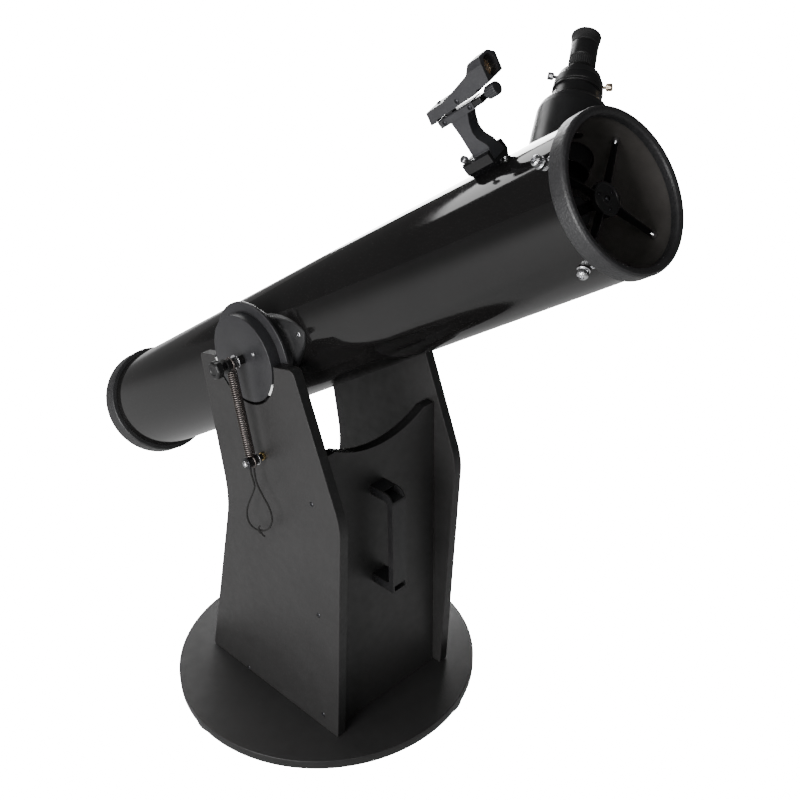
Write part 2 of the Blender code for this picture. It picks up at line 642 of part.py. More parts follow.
# ---------------------------------------------------------------- focuser and eyepiece
def focuser_parts(base):
    """Bell-shaped focuser on the tube, its rack drawtube, knobs, collar and eyepiece."""
    axis = frame("focus_axis", radial(FOCUS_S, FOCUS_ANGLE), base)
    bore = DRAWTUBE_R + GAP
    bell = [(bore, 0.0650), (BELL_R + 0.0010, 0.0650), (BELL_R, 0.1070), (0.0438, 0.1415),
            (0.0420, 0.1490), (0.0385, 0.1545), (0.0330, 0.1590), (0.0308, 0.1600),
            (0.0308, BELL_TOP), (bore, BELL_TOP)]
    body = place("focuser_body", turned(bell, 36), PLASTIC, axis)
    shaft_space = rod(SHAFT_R + 0.0010, -0.08, 0.08, 20)
    pinion_spot = (0.0, SHAFT_OFFSET, SHAFT_LEVEL)
    combine(body, cutter(shaft_space, axis, pinion_spot, ALONG_X), "DIFFERENCE")
    combine(body, cutter(rod(TUBE_R + GAP, 0.3, 0.7, TUBE_SIDES), base), "DIFFERENCE")

    collar_in = DRAWTUBE_R - 0.0018
    drawtube = pipe(DRAWTUBE_R, collar_in, DRAWTUBE_LOW, COLLAR_LOW - GAP, 36)
    place("focuser_drawtube", drawtube, PLASTIC, axis)
    barrel = EYEPIECE_BARREL_R + GAP
    collar_foot = COLLAR_LOW - 0.0065
    collar = [(barrel, collar_foot), (collar_in - GAP, collar_foot), (collar_in - GAP, COLLAR_LOW),
              (0.0303, COLLAR_LOW), (0.0303, COLLAR_LOW + 0.0030), (0.0292, COLLAR_STEP),
              (0.0250, COLLAR_TOP), (barrel, COLLAR_TOP)]
    ring = place("eyepiece_collar", turned(collar, 36), PLASTIC, axis)
    screws = (("collar_screw_upper", UPPER_SCREW_ANGLE, 0.0275, 0.1975),
              ("collar_screw_lower", LOWER_SCREW_ANGLE, 0.0298, 0.1868))
    for name, angle, wall, level in screws:
        turn = Matrix.Rotation(math.radians(angle), 4, "Z") @ ALONG_X
        combine(ring, cutter(rod(0.0022, 0.010, 0.05, 12), axis, (0.0, 0.0, level), turn), "DIFFERENCE")
        thumb = [(0.0, barrel + GAP), (0.0019, barrel + GAP), (0.0019, wall + 0.0030),
                 (0.0046, wall + 0.0036), (0.0046, wall + 0.0110), (0.0, wall + 0.0110)]
        place(name, turned(thumb, 14), STEEL, axis, (0.0, 0.0, level), turn)

    shaft = rod(SHAFT_R, -0.0495, 0.0495, 20)
    place("focus_shaft", shaft, STEEL, axis, pinion_spot, ALONG_X)
    for side, hand in ((1.0, "front"), (-1.0, "rear")):
        hole = SHAFT_R + GAP
        wheel = [(hole, KNOB_X), (0.0090, KNOB_X), (0.0125, KNOB_X + 0.0020),
                 (0.0125, KNOB_X + 0.0110), (0.0115, KNOB_X + 0.0120), (hole, KNOB_X + 0.0120)]
        turn = ALONG_X if side > 0 else ALONG_MINUS_X
        place(f"focus_knob_{hand}", turned(wheel, 24), PLASTIC, axis, pinion_spot, turn)

    eyepiece = [(0.0, COLLAR_TOP - 0.0240), (EYEPIECE_BARREL_R, COLLAR_TOP - 0.0240),
                (EYEPIECE_BARREL_R, COLLAR_TOP + GAP), (EYEPIECE_R, COLLAR_TOP + GAP),
                (EYEPIECE_R, EYECUP_LOW - GAP), (0.0130, EYECUP_LOW - GAP),
                (0.0130, EYECUP_LOW + 0.0040), (0.0, EYECUP_LOW + 0.0040)]
    place("eyepiece", turned(eyepiece, 28), PLASTIC, axis)
    cup = [(0.0130 + GAP, EYECUP_LOW), (EYEPIECE_R, EYECUP_LOW), (0.0178, EYECUP_LOW + 0.0040),
           (0.0186, EYECUP_TOP), (0.0158, EYECUP_TOP), (0.0130 + GAP, EYECUP_LOW + 0.0060)]
    place("eyecup", turned(cup, 28), RUBBER, axis)


# ---------------------------------------------------------------- finder
SIDE_PLANE = Matrix.Rotation(math.radians(90.0), 4, "X")    # x -> X, y -> Z, z -> -Y


def finder_parts(base):
    """The shoe on the tube and the bracket that slides into it."""
    axis = frame("finder_axis", radial(0.0, FINDER_ANGLE), base)
    rear, front = SHOE_S
    shoe = place("finder_shoe", block((rear, -SHOE_HALF, 0.0800), (front, SHOE_HALF, SHOE_TOP)), PLASTIC, axis)
    groove = [(-0.0125, 0.0985), (0.0125, 0.0985), (0.0098, 0.1200), (-0.0098, 0.1200)]
    combine(shoe, cutter(prism(groove, rear - 0.01, front + 0.01), axis, turn=BOARD_PLANE), "DIFFERENCE")
    for side in (1.0, -1.0):
        chamfer = [(side * 0.0170, 0.0985), (side * 0.0060, 0.0860), (side * 0.0170, 0.0860)]
        combine(shoe, cutter(prism(chamfer, rear - 0.01, front + 0.01), axis, turn=BOARD_PLANE), "DIFFERENCE")
    combine(shoe, cutter(rod(TUBE_R + GAP, 0.3, 0.7, TUBE_SIDES), base), "DIFFERENCE")
    lean = Matrix.Rotation(math.radians(SHOE_SCREW_LEAN), 4, "X")
    spot = (rear + 0.0140, -0.0128, 0.1070)
    combine(shoe, cutter(rod(0.0022, -0.004, 0.03, 14), axis, spot, lean), "DIFFERENCE")
    thumb = [(0.0, 0.0), (0.0019, 0.0), (0.0019, 0.0090), (0.0042, 0.0096), (0.0045, 0.0102),
             (0.0045, 0.0152), (0.0038, 0.0162), (0.0, 0.0162)]
    place("finder_shoe_screw", turned(thumb, 18), STEEL, axis, spot, lean)

    foot = [(-0.0120, 0.0989), (0.0120, 0.0989), (0.0100, SHOE_TOP + 0.0010), (-0.0100, SHOE_TOP + 0.0010)]
    bracket = place("finder_bracket", prism(foot, rear + 0.004, front), GREY_PLASTIC, axis, turn=BOARD_PLANE)
    waist = [(0.4830, SHOE_TOP), (0.5110, SHOE_TOP), (0.5100, 0.1170), (0.5040, 0.1270), (0.5035, 0.1360),
             (0.5075, 0.1460), (0.5150, RAIL_LOW + 0.001), (0.4860, RAIL_LOW + 0.001), (0.4860, 0.1400)]
    combine(bracket, cutter(prism(waist, -0.0085, 0.0085), axis, turn=SIDE_PLANE), "UNION")
    rail = block((RAIL_REAR, -0.0105, RAIL_LOW), (RAIL_FRONT, 0.0105, RAIL_TOP))
    combine(bracket, cutter(rail, axis), "UNION")
    pivot_s, pivot_level = SIGHT_PIVOT
    slot = block((pivot_s - 0.0060, -0.0045, RAIL_LOW + 0.002), (pivot_s + 0.0060, 0.0045, 0.2))
    combine(bracket, cutter(slot, axis), "DIFFERENCE")
    knob_spot = (RAIL_FRONT, 0.0, AIM_KNOB_LEVEL)
    combine(bracket, cutter(rod(0.0024, -0.0090, 0.03, 14), axis, knob_spot, ALONG_X), "DIFFERENCE")
    knob = [(0.0, -0.0080), (0.0020, -0.0080), (0.0020, 0.0036), (0.0050, 0.0040), (0.0076, 0.0056),
            (0.0076, 0.0188), (0.0066, 0.0200), (0.0, 0.0200)]
    place("finder_aim_knob", turned(knob, 20), GREY_PLASTIC, axis, knob_spot, ALONG_X)

    sight = frame("sight_axis", Matrix.Translation((pivot_s, 0.0, pivot_level)), axis)
    sight_parts(sight)


def sight_parts(sight):
    """The reflex sight, drawn from its tilt pivot: body with a hooded window, and the glass."""
    profile = [(-0.0245, 0.0045), (-0.0145, 0.0044), (-0.0110, 0.0070), (0.0544, 0.0078), (0.0600, 0.0116),
               (0.0770, 0.0112), (0.0800, 0.0120), (0.0850, 0.0310), (0.0830, 0.0385), (0.0640, 0.0385),
               (0.0600, 0.0305), (0.0112, 0.0198), (-0.0200, 0.0195)]
    radii = [0.001, 0.0, 0.0, 0.003, 0.002, 0.002, 0.001, 0.004, 0.003, 0.003, 0.004, 0.010, 0.001]
    hood = 0.0150
    cheek = 0.0135
    body = place("finder_body", prism(rounded(profile, radii, 3), -hood, hood), GREY_PLASTIC, sight,
                 turn=SIDE_PLANE)
    for low, high in ((cheek, 0.03), (-0.03, -cheek)):
        waste = block((-0.05, low, -0.01), (0.0550, high, 0.06))
        combine(body, cutter(waste, sight), "DIFFERENCE")
    centre = (0.0, 0.0, WINDOW_LEVEL)
    combine(body, cutter(rod(WINDOW_R + GAP, 0.0050, 0.12, 24), sight, centre, ALONG_X), "DIFFERENCE")
    for side in (1.0, -1.0):
        crown = [(side * 0.0085, 0.0390), (side * 0.0160, 0.0390), (side * 0.0160, 0.0305)]
        combine(body, cutter(prism(crown, 0.056, 0.090), sight, turn=BOARD_PLANE), "DIFFERENCE")
    lug = block((-0.0045, -0.0042, -0.0020), (0.0045, 0.0042, 0.0100))
    combine(body, cutter(lug, sight), "UNION")
    tilt = Matrix.Rotation(math.radians(8.0), 4, "Y") @ ALONG_X
    place("finder_window", rod(WINDOW_R - 0.0003, -0.0010, 0.0010, 24), GLASS, sight,
          (0.0700, 0.0, WINDOW_LEVEL), tilt)


# ---------------------------------------------------------------- assembly
def main():
    """Build every piece in the pose with the tube at its rest altitude."""
    azimuth = ground_parts()
    rocker_parts(azimuth)
    lift = Matrix.Rotation(math.radians(90.0) - TUBE_ALTITUDE, 4, "X")
    altitude = frame("altitude_axis", Matrix.Translation((0.0, ALTITUDE_Y, ALTITUDE_Z)) @ lift)
    tube_shell(altitude)
    end_ring("front_end_ring", FRONT_RING_R, FRONT_RING_L, FRONT_END, altitude)
    end_ring("rear_end_ring", REAR_RING_R, REAR_RING_L, REAR_END, altitude)
    bearing("left", -1.0, altitude)
    bearing("right", 1.0, altitude)
    mirror_parts(altitude)
    spider_parts(altitude)
    focuser_parts(altitude)
    finder_parts(altitude)


main()
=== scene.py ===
"""Looks of the Dobsonian reflector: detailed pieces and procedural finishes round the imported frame.

Metres, +Z up, in the frame's own axes.  The open end of the tube faces -Y.
"""
import math

import bmesh
import bpy
from mathutils import Matrix, Vector


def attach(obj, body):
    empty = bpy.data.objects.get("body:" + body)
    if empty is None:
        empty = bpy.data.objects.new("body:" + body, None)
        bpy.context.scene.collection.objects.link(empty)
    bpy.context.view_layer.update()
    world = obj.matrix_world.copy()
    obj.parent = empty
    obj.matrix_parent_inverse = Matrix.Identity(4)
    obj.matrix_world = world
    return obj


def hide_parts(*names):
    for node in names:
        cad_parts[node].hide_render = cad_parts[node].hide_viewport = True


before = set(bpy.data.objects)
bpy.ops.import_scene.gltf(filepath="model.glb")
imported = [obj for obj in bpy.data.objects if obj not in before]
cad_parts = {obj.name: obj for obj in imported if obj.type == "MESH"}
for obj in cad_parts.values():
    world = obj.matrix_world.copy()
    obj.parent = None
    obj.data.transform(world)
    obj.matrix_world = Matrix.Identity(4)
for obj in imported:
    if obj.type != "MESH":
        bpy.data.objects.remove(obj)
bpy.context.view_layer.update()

# ---------------------------------------------------------------- dimensions shared with the solids
GAP = 0.0003
AZIMUTH_Y = 0.0291
DISC_TOP = 0.0615
DISC_R = 0.2606
DISC_T = 0.0165
BOARD_LOW = 0.026
BOARD_TOP = 0.042
SIDE_OUTER = 0.1294
SIDE_INNER = 0.1134
FRONT_FACE_Y = -0.152
FRONT_BOARD_T = 0.016
NOTCH_R = 0.0695
ALTITUDE_DY = -0.0021
ALTITUDE_H = 0.6251
TUBE_R = 0.09
INNER_R = 0.089
FRONT_END = 0.6253
REAR_END = -0.5589
RING_LIP = 0.004
BEARING_R = 0.0657
FLANGE_R = 0.0805
BUSHING_R = 0.0078
SPIDER_S = 0.594
NUT_S = 0.5875
VANE_ANGLES = (41.0, 139.0, 221.0, 319.0)
HUB_R = 0.0195
FOCUS_S = 0.52
FOCUS_ANGLE = 47.0
BELL_R = 0.0455
BELL_TOP = 0.162
DRAWTUBE_R = 0.0285
DRAWTUBE_LOW = 0.0655
COLLAR_LOW = 0.1775
COLLAR_STEP = 0.193
COLLAR_TOP = 0.204
EYECUP_LOW = 0.2505
EYECUP_TOP = 0.2655
EYEPIECE_R = 0.0166
SHAFT_OFFSET = 0.0358
SHAFT_LEVEL = 0.108
SHAFT_R = 0.003
KNOB_X = 0.038
FINDER_ANGLE = 110.0
SHOE_S = (0.468, 0.511)
SHOE_HALF = 0.0165
SHOE_TOP = 0.111
RAIL_REAR = 0.472
RAIL_FRONT = 0.542
RAIL_LOW = 0.157
RAIL_TOP = 0.166
AIM_KNOB_LEVEL = 0.1625
SIGHT_PIVOT = (0.489, 0.162)
WINDOW_LEVEL = 0.0245
WINDOW_R = 0.011
SPRING_X = 0.1514
LOWER_POST = (-0.033, 0.4765)
CORD_R = 0.0014
COIL_R = 0.0077
WIRE_R = 0.0011
EYE_R = 0.0095
BEARING_FACE = 0.1294

ROCKER = Matrix.Translation((0.0, AZIMUTH_Y, DISC_TOP))
GROUND = Matrix.Translation((0.0, AZIMUTH_Y, 0.0))
TUBE = Matrix.Translation((0.0, AZIMUTH_Y + ALTITUDE_DY, DISC_TOP + ALTITUDE_H)) @ Matrix.Rotation(
    math.radians(90.0 - 32.21), 4, "X")
ALONG_X = Matrix.Rotation(math.radians(90.0), 4, "Y")
ALONG_MINUS_X = Matrix.Rotation(math.radians(-90.0), 4, "Y")
BOARD_PLANE = Matrix(((0, 0, 1, 0), (1, 0, 0, 0), (0, 1, 0, 0), (0, 0, 0, 1)))
SIDE_PLANE = Matrix.Rotation(math.radians(90.0), 4, "X")


def turn(axis, degrees):
    """A rotation about one axis."""
    return Matrix.Rotation(math.radians(degrees), 4, axis)


def move(x, y, z):
    """A translation."""
    return Matrix.Translation((x, y, z))


def radial(station, angle):
    """Frame on the tube: X along the tube to the front, Z straight out at this angle."""
    a = math.radians(angle)
    return TUBE @ Matrix(((0.0, math.sin(a), math.cos(a), 0.0),
                          (0.0, -math.cos(a), math.sin(a), 0.0),
                          (1.0, 0.0, 0.0, station),
                          (0.0, 0.0, 0.0, 1.0)))


FOCUS = radial(FOCUS_S, FOCUS_ANGLE)
FINDER = radial(0.0, FINDER_ANGLE)
SIGHT = FINDER @ move(SIGHT_PIVOT[0], 0.0, SIGHT_PIVOT[1])


# ---------------------------------------------------------------- camera
def make_camera():
    """The camera stands to the front left of the telescope and looks down at it."""
    yaw, pitch, roll = 0.789, -0.5004, -0.0115
    ahead = Vector((math.sin(yaw) * math.cos(pitch), math.cos(yaw) * math.cos(pitch), math.sin(pitch)))
    level = ahead.cross(Vector((0.0, 0.0, 1.0))).normalized()
    above = level.cross(ahead)
    right = level * math.cos(roll) + above * math.sin(roll)
    up = above * math.cos(roll) - level * math.sin(roll)
    lens = bpy.data.cameras.new("camera")
    lens.sensor_width = 36.0
    lens.lens = 48.19
    lens.clip_start = 0.05
    lens.clip_end = 60.0
    camera = bpy.data.objects.new("camera", lens)
    bpy.context.collection.objects.link(camera)
    place = Matrix((right, up, -ahead)).transposed().to_4x4()
    place.translation = (-0.9459, -1.1007, 1.3686)
    camera.matrix_world = place
    bpy.context.scene.camera = camera


make_camera()


# ---------------------------------------------------------------- finishes
SOFT_STOPS = (0.3, 0.75)
ROUGH_STOPS = (0.3, 0.7)


def noise(scale, detail=3.0, roughness=0.55, stretch=None):
    """Settings of a noise texture; stretch scales its coordinates."""
    return "ShaderNodeTexNoise", "Fac", dict(Scale=scale, Detail=detail, Roughness=roughness), stretch, None


def cells(scale, feature="F1"):
    """Settings of a Voronoi texture."""
    return "ShaderNodeTexVoronoi", "Distance", dict(Scale=scale), None, feature


def texture(tree, kind, output, values, stretch, feature):
    """Add a texture in object coordinates and return its output."""
    node = tree.nodes.new(kind)
    if feature:
        node.feature = feature
    for key, value in values.items():
        node.inputs[key].default_value = value
    place = tree.nodes.new("ShaderNodeTexCoord").outputs["Object"]
    if stretch:
        scaled = tree.nodes.new("ShaderNodeMapping")
        scaled.inputs["Scale"].default_value = stretch
        tree.links.new(place, scaled.inputs["Vector"])
        place = scaled.outputs["Vector"]
    tree.links.new(place, node.inputs["Vector"])
    return node.outputs[output]


def ramp(tree, value, positions, colours):
    """A ramp between two greys or colours."""
    node = tree.nodes.new("ShaderNodeValToRGB")
    for element, position, colour in zip(node.color_ramp.elements, positions, colours):
        element.position = position
        element.color = (*colour, 1.0) if isinstance(colour, tuple) else (colour, colour, colour, 1.0)
    tree.links.new(value, node.inputs["Fac"])
    return node.outputs["Color"]


def finish(name, slot, colour, rough, bumps=(), colour_stops=SOFT_STOPS, rough_stops=ROUGH_STOPS, **fixed):
    """A node material; colour and rough are (texture, low, high), bumps are (texture, strength, distance)."""
    made = bpy.data.materials.new(name)
    made.use_nodes = True
    tree = made.node_tree
    shader = tree.nodes["Principled BSDF"]
    for key, value in fixed.items():
        shader.inputs[key.replace("_", " ")].default_value = value
    for socket, stops, (source, low, high) in (("Base Color", colour_stops, colour),
                                               ("Roughness", rough_stops, rough)):
        if source:
            tree.links.new(ramp(tree, texture(tree, *source), stops, (low, high)), shader.inputs[socket])
    under = None
    for source, strength, distance in bumps:
        node = tree.nodes.new("ShaderNodeBump")
        node.inputs["Strength"].default_value = strength
        node.inputs["Distance"].default_value = distance
        tree.links.new(texture(tree, *source), node.inputs["Height"])
        if under:
            tree.links.new(under, node.inputs["Normal"])
        under = node.outputs["Normal"]
    if under:
        tree.links.new(under, shader.inputs["Normal"])
    return made


def moulded(name, slot, tone, low, high, grain=900.0, strength=0.25):
    """Moulded plastic; tone is its colour and low to high its roughness."""
    return finish(name, slot, (noise(35.0, 5.0), tuple(c * 0.85 for c in tone), tuple(c * 1.15 for c in tone)),
                  (noise(70.0, 4.0), low, high), [(noise(grain, 3.0), strength, 0.0003)], IOR=1.47)


def plated(name, tone, low, high):
    """Bright plated metal with fine scuffs."""
    return finish(name, "bright_steel", (noise(120.0, 4.0), tuple(c * 0.9 for c in tone), tone),
                  (noise(300.0, 4.0, 0.6, (1.0, 1.0, 4.0)), low, high),
                  [(noise(1400.0, 2.0, 0.5, (1.0, 1.0, 5.0)), 0.04, 0.0002)], (0.35, 0.7), Metallic=1.0)


# gloss paint with a faint orange peel, and the flat coating inside the tube
ENAMEL = finish("gloss_enamel", "tube_enamel",
                (noise(9.0, 4.0), (0.005, 0.0048, 0.0048), (0.0076, 0.0072, 0.0071)),
                (noise(22.0, 5.0, 0.6), 0.055, 0.105),
                [(noise(420.0, 2.0), 0.05, 0.0004), (noise(26.0, 2.0), 0.04, 0.002)],
                rough_stops=(0.35, 0.7), IOR=1.5)
LINING = finish("flat_black_lining", "tube_enamel",
                (noise(30.0, 5.0), (0.068, 0.0625, 0.059), (0.088, 0.081, 0.0765)),
                (noise(55.0, 3.0), 0.48, 0.62), [(noise(900.0, 3.0), 0.25, 0.0003)], IOR=1.4)
# melamine with a pebble print, and the banding on the boards' edges
BOARD = finish("board_face", "board",
               (noise(14.0, 6.0, 0.62), (0.0178, 0.017266, 0.017266), (0.0228, 0.02223, 0.02223)),
               (noise(60.0, 4.0), 0.4, 0.5), [(cells(620.0), 0.1, 0.0003), (noise(1500.0, 2.0), 0.12, 0.0002)],
               (0.25, 0.8), IOR=1.46)
EDGE = finish("board_edge_band", "board", (noise(40.0, 4.0), 0.0085, 0.0125), (noise(90.0, 3.0), 0.36, 0.46),
              [(noise(1200.0, 2.0), 0.1, 0.0002)], IOR=1.46)
BEARING = moulded("bearing_plastic", "black_plastic", (0.0215, 0.0215, 0.0235), 0.34, 0.46)
PLASTIC = moulded("black_plastic", "black_plastic", (0.012, 0.012, 0.0126), 0.34, 0.48)
SADDLE = moulded("saddle_plastic", "black_plastic", (0.0105, 0.0105, 0.0112), 0.44, 0.58)
GLOSSY = moulded("gloss_plastic", "black_plastic", (0.005, 0.005, 0.0054), 0.12, 0.22, 600.0, 0.06)
SATIN = moulded("satin_black", "black_plastic", (0.009, 0.009, 0.0095), 0.28, 0.4, 1300.0, 0.12)
FINDER_BLACK = moulded("finder_plastic", "finder_plastic", (0.027, 0.027, 0.03), 0.36, 0.48, 1100.0, 0.3)
GRIP = moulded("grip_rubber", "cup_rubber", (0.015, 0.015, 0.0155), 0.6, 0.75, 1300.0, 0.35)
FOOT_RUBBER = moulded("foot_rubber", "foot_rubber", (0.012, 0.012, 0.012), 0.65, 0.8, 800.0, 0.4)
# hammered and crackled grain of the end rings
RING = finish("crackled_ring", "ring_plastic",
              (noise(60.0, 5.0), (0.018, 0.018, 0.019), (0.026, 0.026, 0.0272)),
              (noise(130.0, 4.0), 0.36, 0.52),
              [(cells(520.0, "SMOOTH_F1"), 0.6, 0.0008), (noise(900.0, 3.0), 0.45, 0.0005)], IOR=1.48)
CHROME = plated("chrome", (0.78, 0.78, 0.8), 0.1, 0.22)
BRASSY = plated("warm_plated_steel", (0.8, 0.66, 0.5), 0.14, 0.26)
BRASS = plated("brass", (0.62, 0.46, 0.2), 0.22, 0.36)
BLACK_STEEL = plated("blackened_screw", (0.06, 0.06, 0.066), 0.26, 0.4)
# dark drawn wire, thin braided cord, low-friction plastic, aluminised mirror and coated sight glass
WIRE = finish("spring_wire", "spring_wire", (noise(180.0, 4.0), (0.115, 0.098, 0.092), (0.215, 0.19, 0.18)),
              (noise(260.0, 3.0), 0.28, 0.42), [(noise(1500.0, 2.0), 0.1, 0.0001)], Metallic=1.0)
CORD = finish("braided_cord", "cord", (noise(700.0, 3.0), (0.004, 0.0036, 0.0036), (0.011, 0.01, 0.0096)),
              (None, 0.0, 0.0), [(cells(1900.0), 0.9, 0.0004)], Roughness=0.9)
PTFE = finish("white_ptfe", "ptfe", (noise(60.0, 4.0), (0.8, 0.8, 0.78), (0.88, 0.88, 0.87)),
              (noise(140.0, 3.0), 0.35, 0.5), [(noise(700.0, 2.0), 0.08, 0.0002)], IOR=1.38)
MIRROR = finish("silvered_mirror", "silvered_glass", (noise(14.0, 3.0), (0.86, 0.88, 0.9), (0.91, 0.93, 0.95)),
                (noise(40.0, 3.0), 0.015, 0.035), Metallic=1.0)
GLASS = finish("coated_glass", "window_glass", (noise(60.0, 2.0), (0.8, 0.6, 0.42), (0.86, 0.68, 0.5)),
               (noise(40.0, 2.0), 0.02, 0.05), colour_stops=(0.3, 0.7), IOR=1.52, Transmission_Weight=0.85)


# ---------------------------------------------------------------- shape helpers
SHARP_ANGLE = 32.0
BEVEL_ANGLE = 38.0
BOTH_HANDS = (("left", -1.0), ("right", 1.0))
def soft(points, radius, steps=3):
    """Round the corners of a closed outline; radius is one number or one for each corner."""
    count = len(points)
    radii = radius if isinstance(radius, (list, tuple)) else [radius] * count
    outline = []
    for i in range(count):
        corner = Vector(points[i])
        to_back = Vector(points[i - 1]) - corner
        to_ahead = Vector(points[(i + 1) % count]) - corner
        room = 0.49 * min(to_back.length, to_ahead.length)
        if radii[i] <= 0.0 or room < 1e-6 or abs(corner.x) < 1e-9:
            outline.append(tuple(corner))
            continue
        back, ahead = to_back.normalized(), to_ahead.normalized()
        half = back.angle(ahead) / 2.0
        if half > math.radians(88.0):
            outline.append(tuple(corner))
            continue
        size = min(radii[i], room * math.tan(half))
        centre = corner + (back + ahead).normalized() * size / math.sin(half)
        first = corner + back * size / math.tan(half) - centre
        last = corner + ahead * size / math.tan(half) - centre
        start = math.atan2(first.y, first.x)
        sweep = math.remainder(math.atan2(last.y, last.x) - start, 2.0 * math.pi)
        for k in range(steps + 1):
            a = start + sweep * k / steps
            outline.append((centre.x + size * math.cos(a), centre.y + size * math.sin(a)))
    return outline


def arc(centre, radius, start, end, steps):
    """Points on an arc, angles in degrees."""
    angles = [math.radians(start + (end - start) * i / steps) for i in range(steps + 1)]
    return [(centre[0] + radius * math.cos(a), centre[1] + radius * math.sin(a)) for a in angles]


def turned(profile, sides=64, wave=None):
    """Turn a closed profile of (radius, height) about Z; wave(radius, height, angle) may change a radius."""
    shape = bmesh.new()
    rings = []
    for radius, height in profile:
        if radius < 1e-7:
            rings.append([shape.verts.new((0.0, 0.0, height))])
            continue
        ring = []
        for i in range(sides):
            a = 2.0 * math.pi * i / sides
            r = radius if wave is None else wave(radius, height, a)
            ring.append(shape.verts.new((r * math.cos(a), r * math.sin(a), height)))
        rings.append(ring)
    for low, high in zip(rings, rings[1:] + rings[:1]):
        if len(low) == 1 and len(high) == 1:
            continue
        for i in range(sides):
            j = (i + 1) % sides
            corners = [low[0]] if len(low) == 1 else [low[i], low[j]]
            corners += [high[0]] if len(high) == 1 else [high[j], high[i]]
            shape.faces.new(corners)
    return shape


def prism(outline, low, high):
    """Extrude an outline of (x, y) points along Z."""
    shape = bmesh.new()
    face = shape.faces.new([shape.verts.new((x, y, low)) for x, y in outline])
    grown = bmesh.ops.extrude_face_region(shape, geom=[face])
    lifted = [item for item in grown["geom"] if isinstance(item, bmesh.types.BMVert)]
    bmesh.ops.translate(shape, vec=(0.0, 0.0, high - low), verts=lifted)
    return shape


def block(low, high):
    """A box between two corners."""
    shape = bmesh.new()
    bmesh.ops.create_cube(shape, size=1.0)
    bmesh.ops.scale(shape, vec=Vector(high) - Vector(low), verts=shape.verts)
    bmesh.ops.translate(shape, vec=(Vector(high) + Vector(low)) / 2.0, verts=shape.verts)
    return shape


def loft(rings, caps=True, closed=False):
    """Join rings of points that have equal counts."""
    shape = bmesh.new()
    made = [[shape.verts.new(point) for point in ring] for ring in rings]
    pairs = list(zip(made, made[1:])) + ([(made[-1], made[0])] if closed else [])
    for low, high in pairs:
        for i in range(len(low)):
            j = (i + 1) % len(low)
            shape.faces.new((low[i], low[j], high[j], high[i]))
    if caps and not closed:
        shape.faces.new(made[0])
        shape.faces.new(made[-1])
    return shape


def sweep(points, radius, sides=8, closed=False):
    """A tube of constant radius along points."""
    rings = []
    count = len(points)
    side = None
    for i in range(count):
        if closed:
            ahead = points[(i + 1) % count] - points[i - 1]
        else:
            ahead = points[min(i + 1, count - 1)] - points[max(i - 1, 0)]
        ahead.normalize()
        if side is None:
            side = ahead.orthogonal().normalized()
        side = (side - ahead * side.dot(ahead)).normalized()
        other = ahead.cross(side)
        rings.append([points[i] + side * (radius * math.cos(a)) + other * (radius * math.sin(a))
                      for a in (2.0 * math.pi * k / sides for k in range(sides))])
    return loft(rings, closed=closed)


def smooth(points, step):
    """Even points along a Catmull-Rom curve through the given points."""
    ends = [points[0] * 2.0 - points[1]] + points + [points[-1] * 2.0 - points[-2]]
    fine = []
    for a, b, c, d in zip(ends, ends[1:], ends[2:], ends[3:]):
        for k in range(24):
            t = k / 24.0
            fine.append(0.5 * (2.0 * b + (c - a) * t + (2.0 * a - 5.0 * b + 4.0 * c - d) * t ** 2
                               + (3.0 * b - a - 3.0 * c + d) * t ** 3))
    fine.append(points[-1])
    total = sum((q - p).length for p, q in zip(fine, fine[1:]))
    count = round(total / step)
    line = [fine[0]]
    walked = 0.0
    for p, q in zip(fine, fine[1:]):
        length = (q - p).length
        while len(line) < count and walked + length >= total * len(line) / count:
            line.append(p.lerp(q, (total * len(line) / count - walked) / length))
        walked += length
    line.append(fine[-1])
    return line


def bevelled(target, width, segments=3):
    """Round a piece's sharp edges."""
    bevel = target.modifiers.new("edges", "BEVEL")
    bevel.width = width
    bevel.segments = segments
    bevel.limit_method = "ANGLE"
    bevel.angle_limit = math.radians(BEVEL_ANGLE)
    bevel.harden_normals = True


def piece(name, shape, finish, body, at=None, nodes=(), sharp=SHARP_ANGLE, edges=None, segments=3):
    """Make an object from a bmesh, place it and let it ride on a body; nodes are the CAD nodes it replaces."""
    if at is not None:
        bmesh.ops.transform(shape, matrix=at, verts=shape.verts)
    bmesh.ops.recalc_face_normals(shape, faces=shape.faces)
    mesh = bpy.data.meshes.new(name)
    shape.to_mesh(mesh)
    shape.free()
    mesh.shade_smooth()
    mesh.set_sharp_from_angle(angle=math.radians(sharp))
    finishes = finish if isinstance(finish, (list, tuple)) else [finish]
    for surface in finishes:
        mesh.materials.append(surface)
    made = bpy.data.objects.new(name, mesh)
    bpy.context.collection.objects.link(made)
    if edges:
        bevelled(made, edges, segments)
    if body:
        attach(made, body)
    if nodes:
        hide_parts(*nodes)
    return made


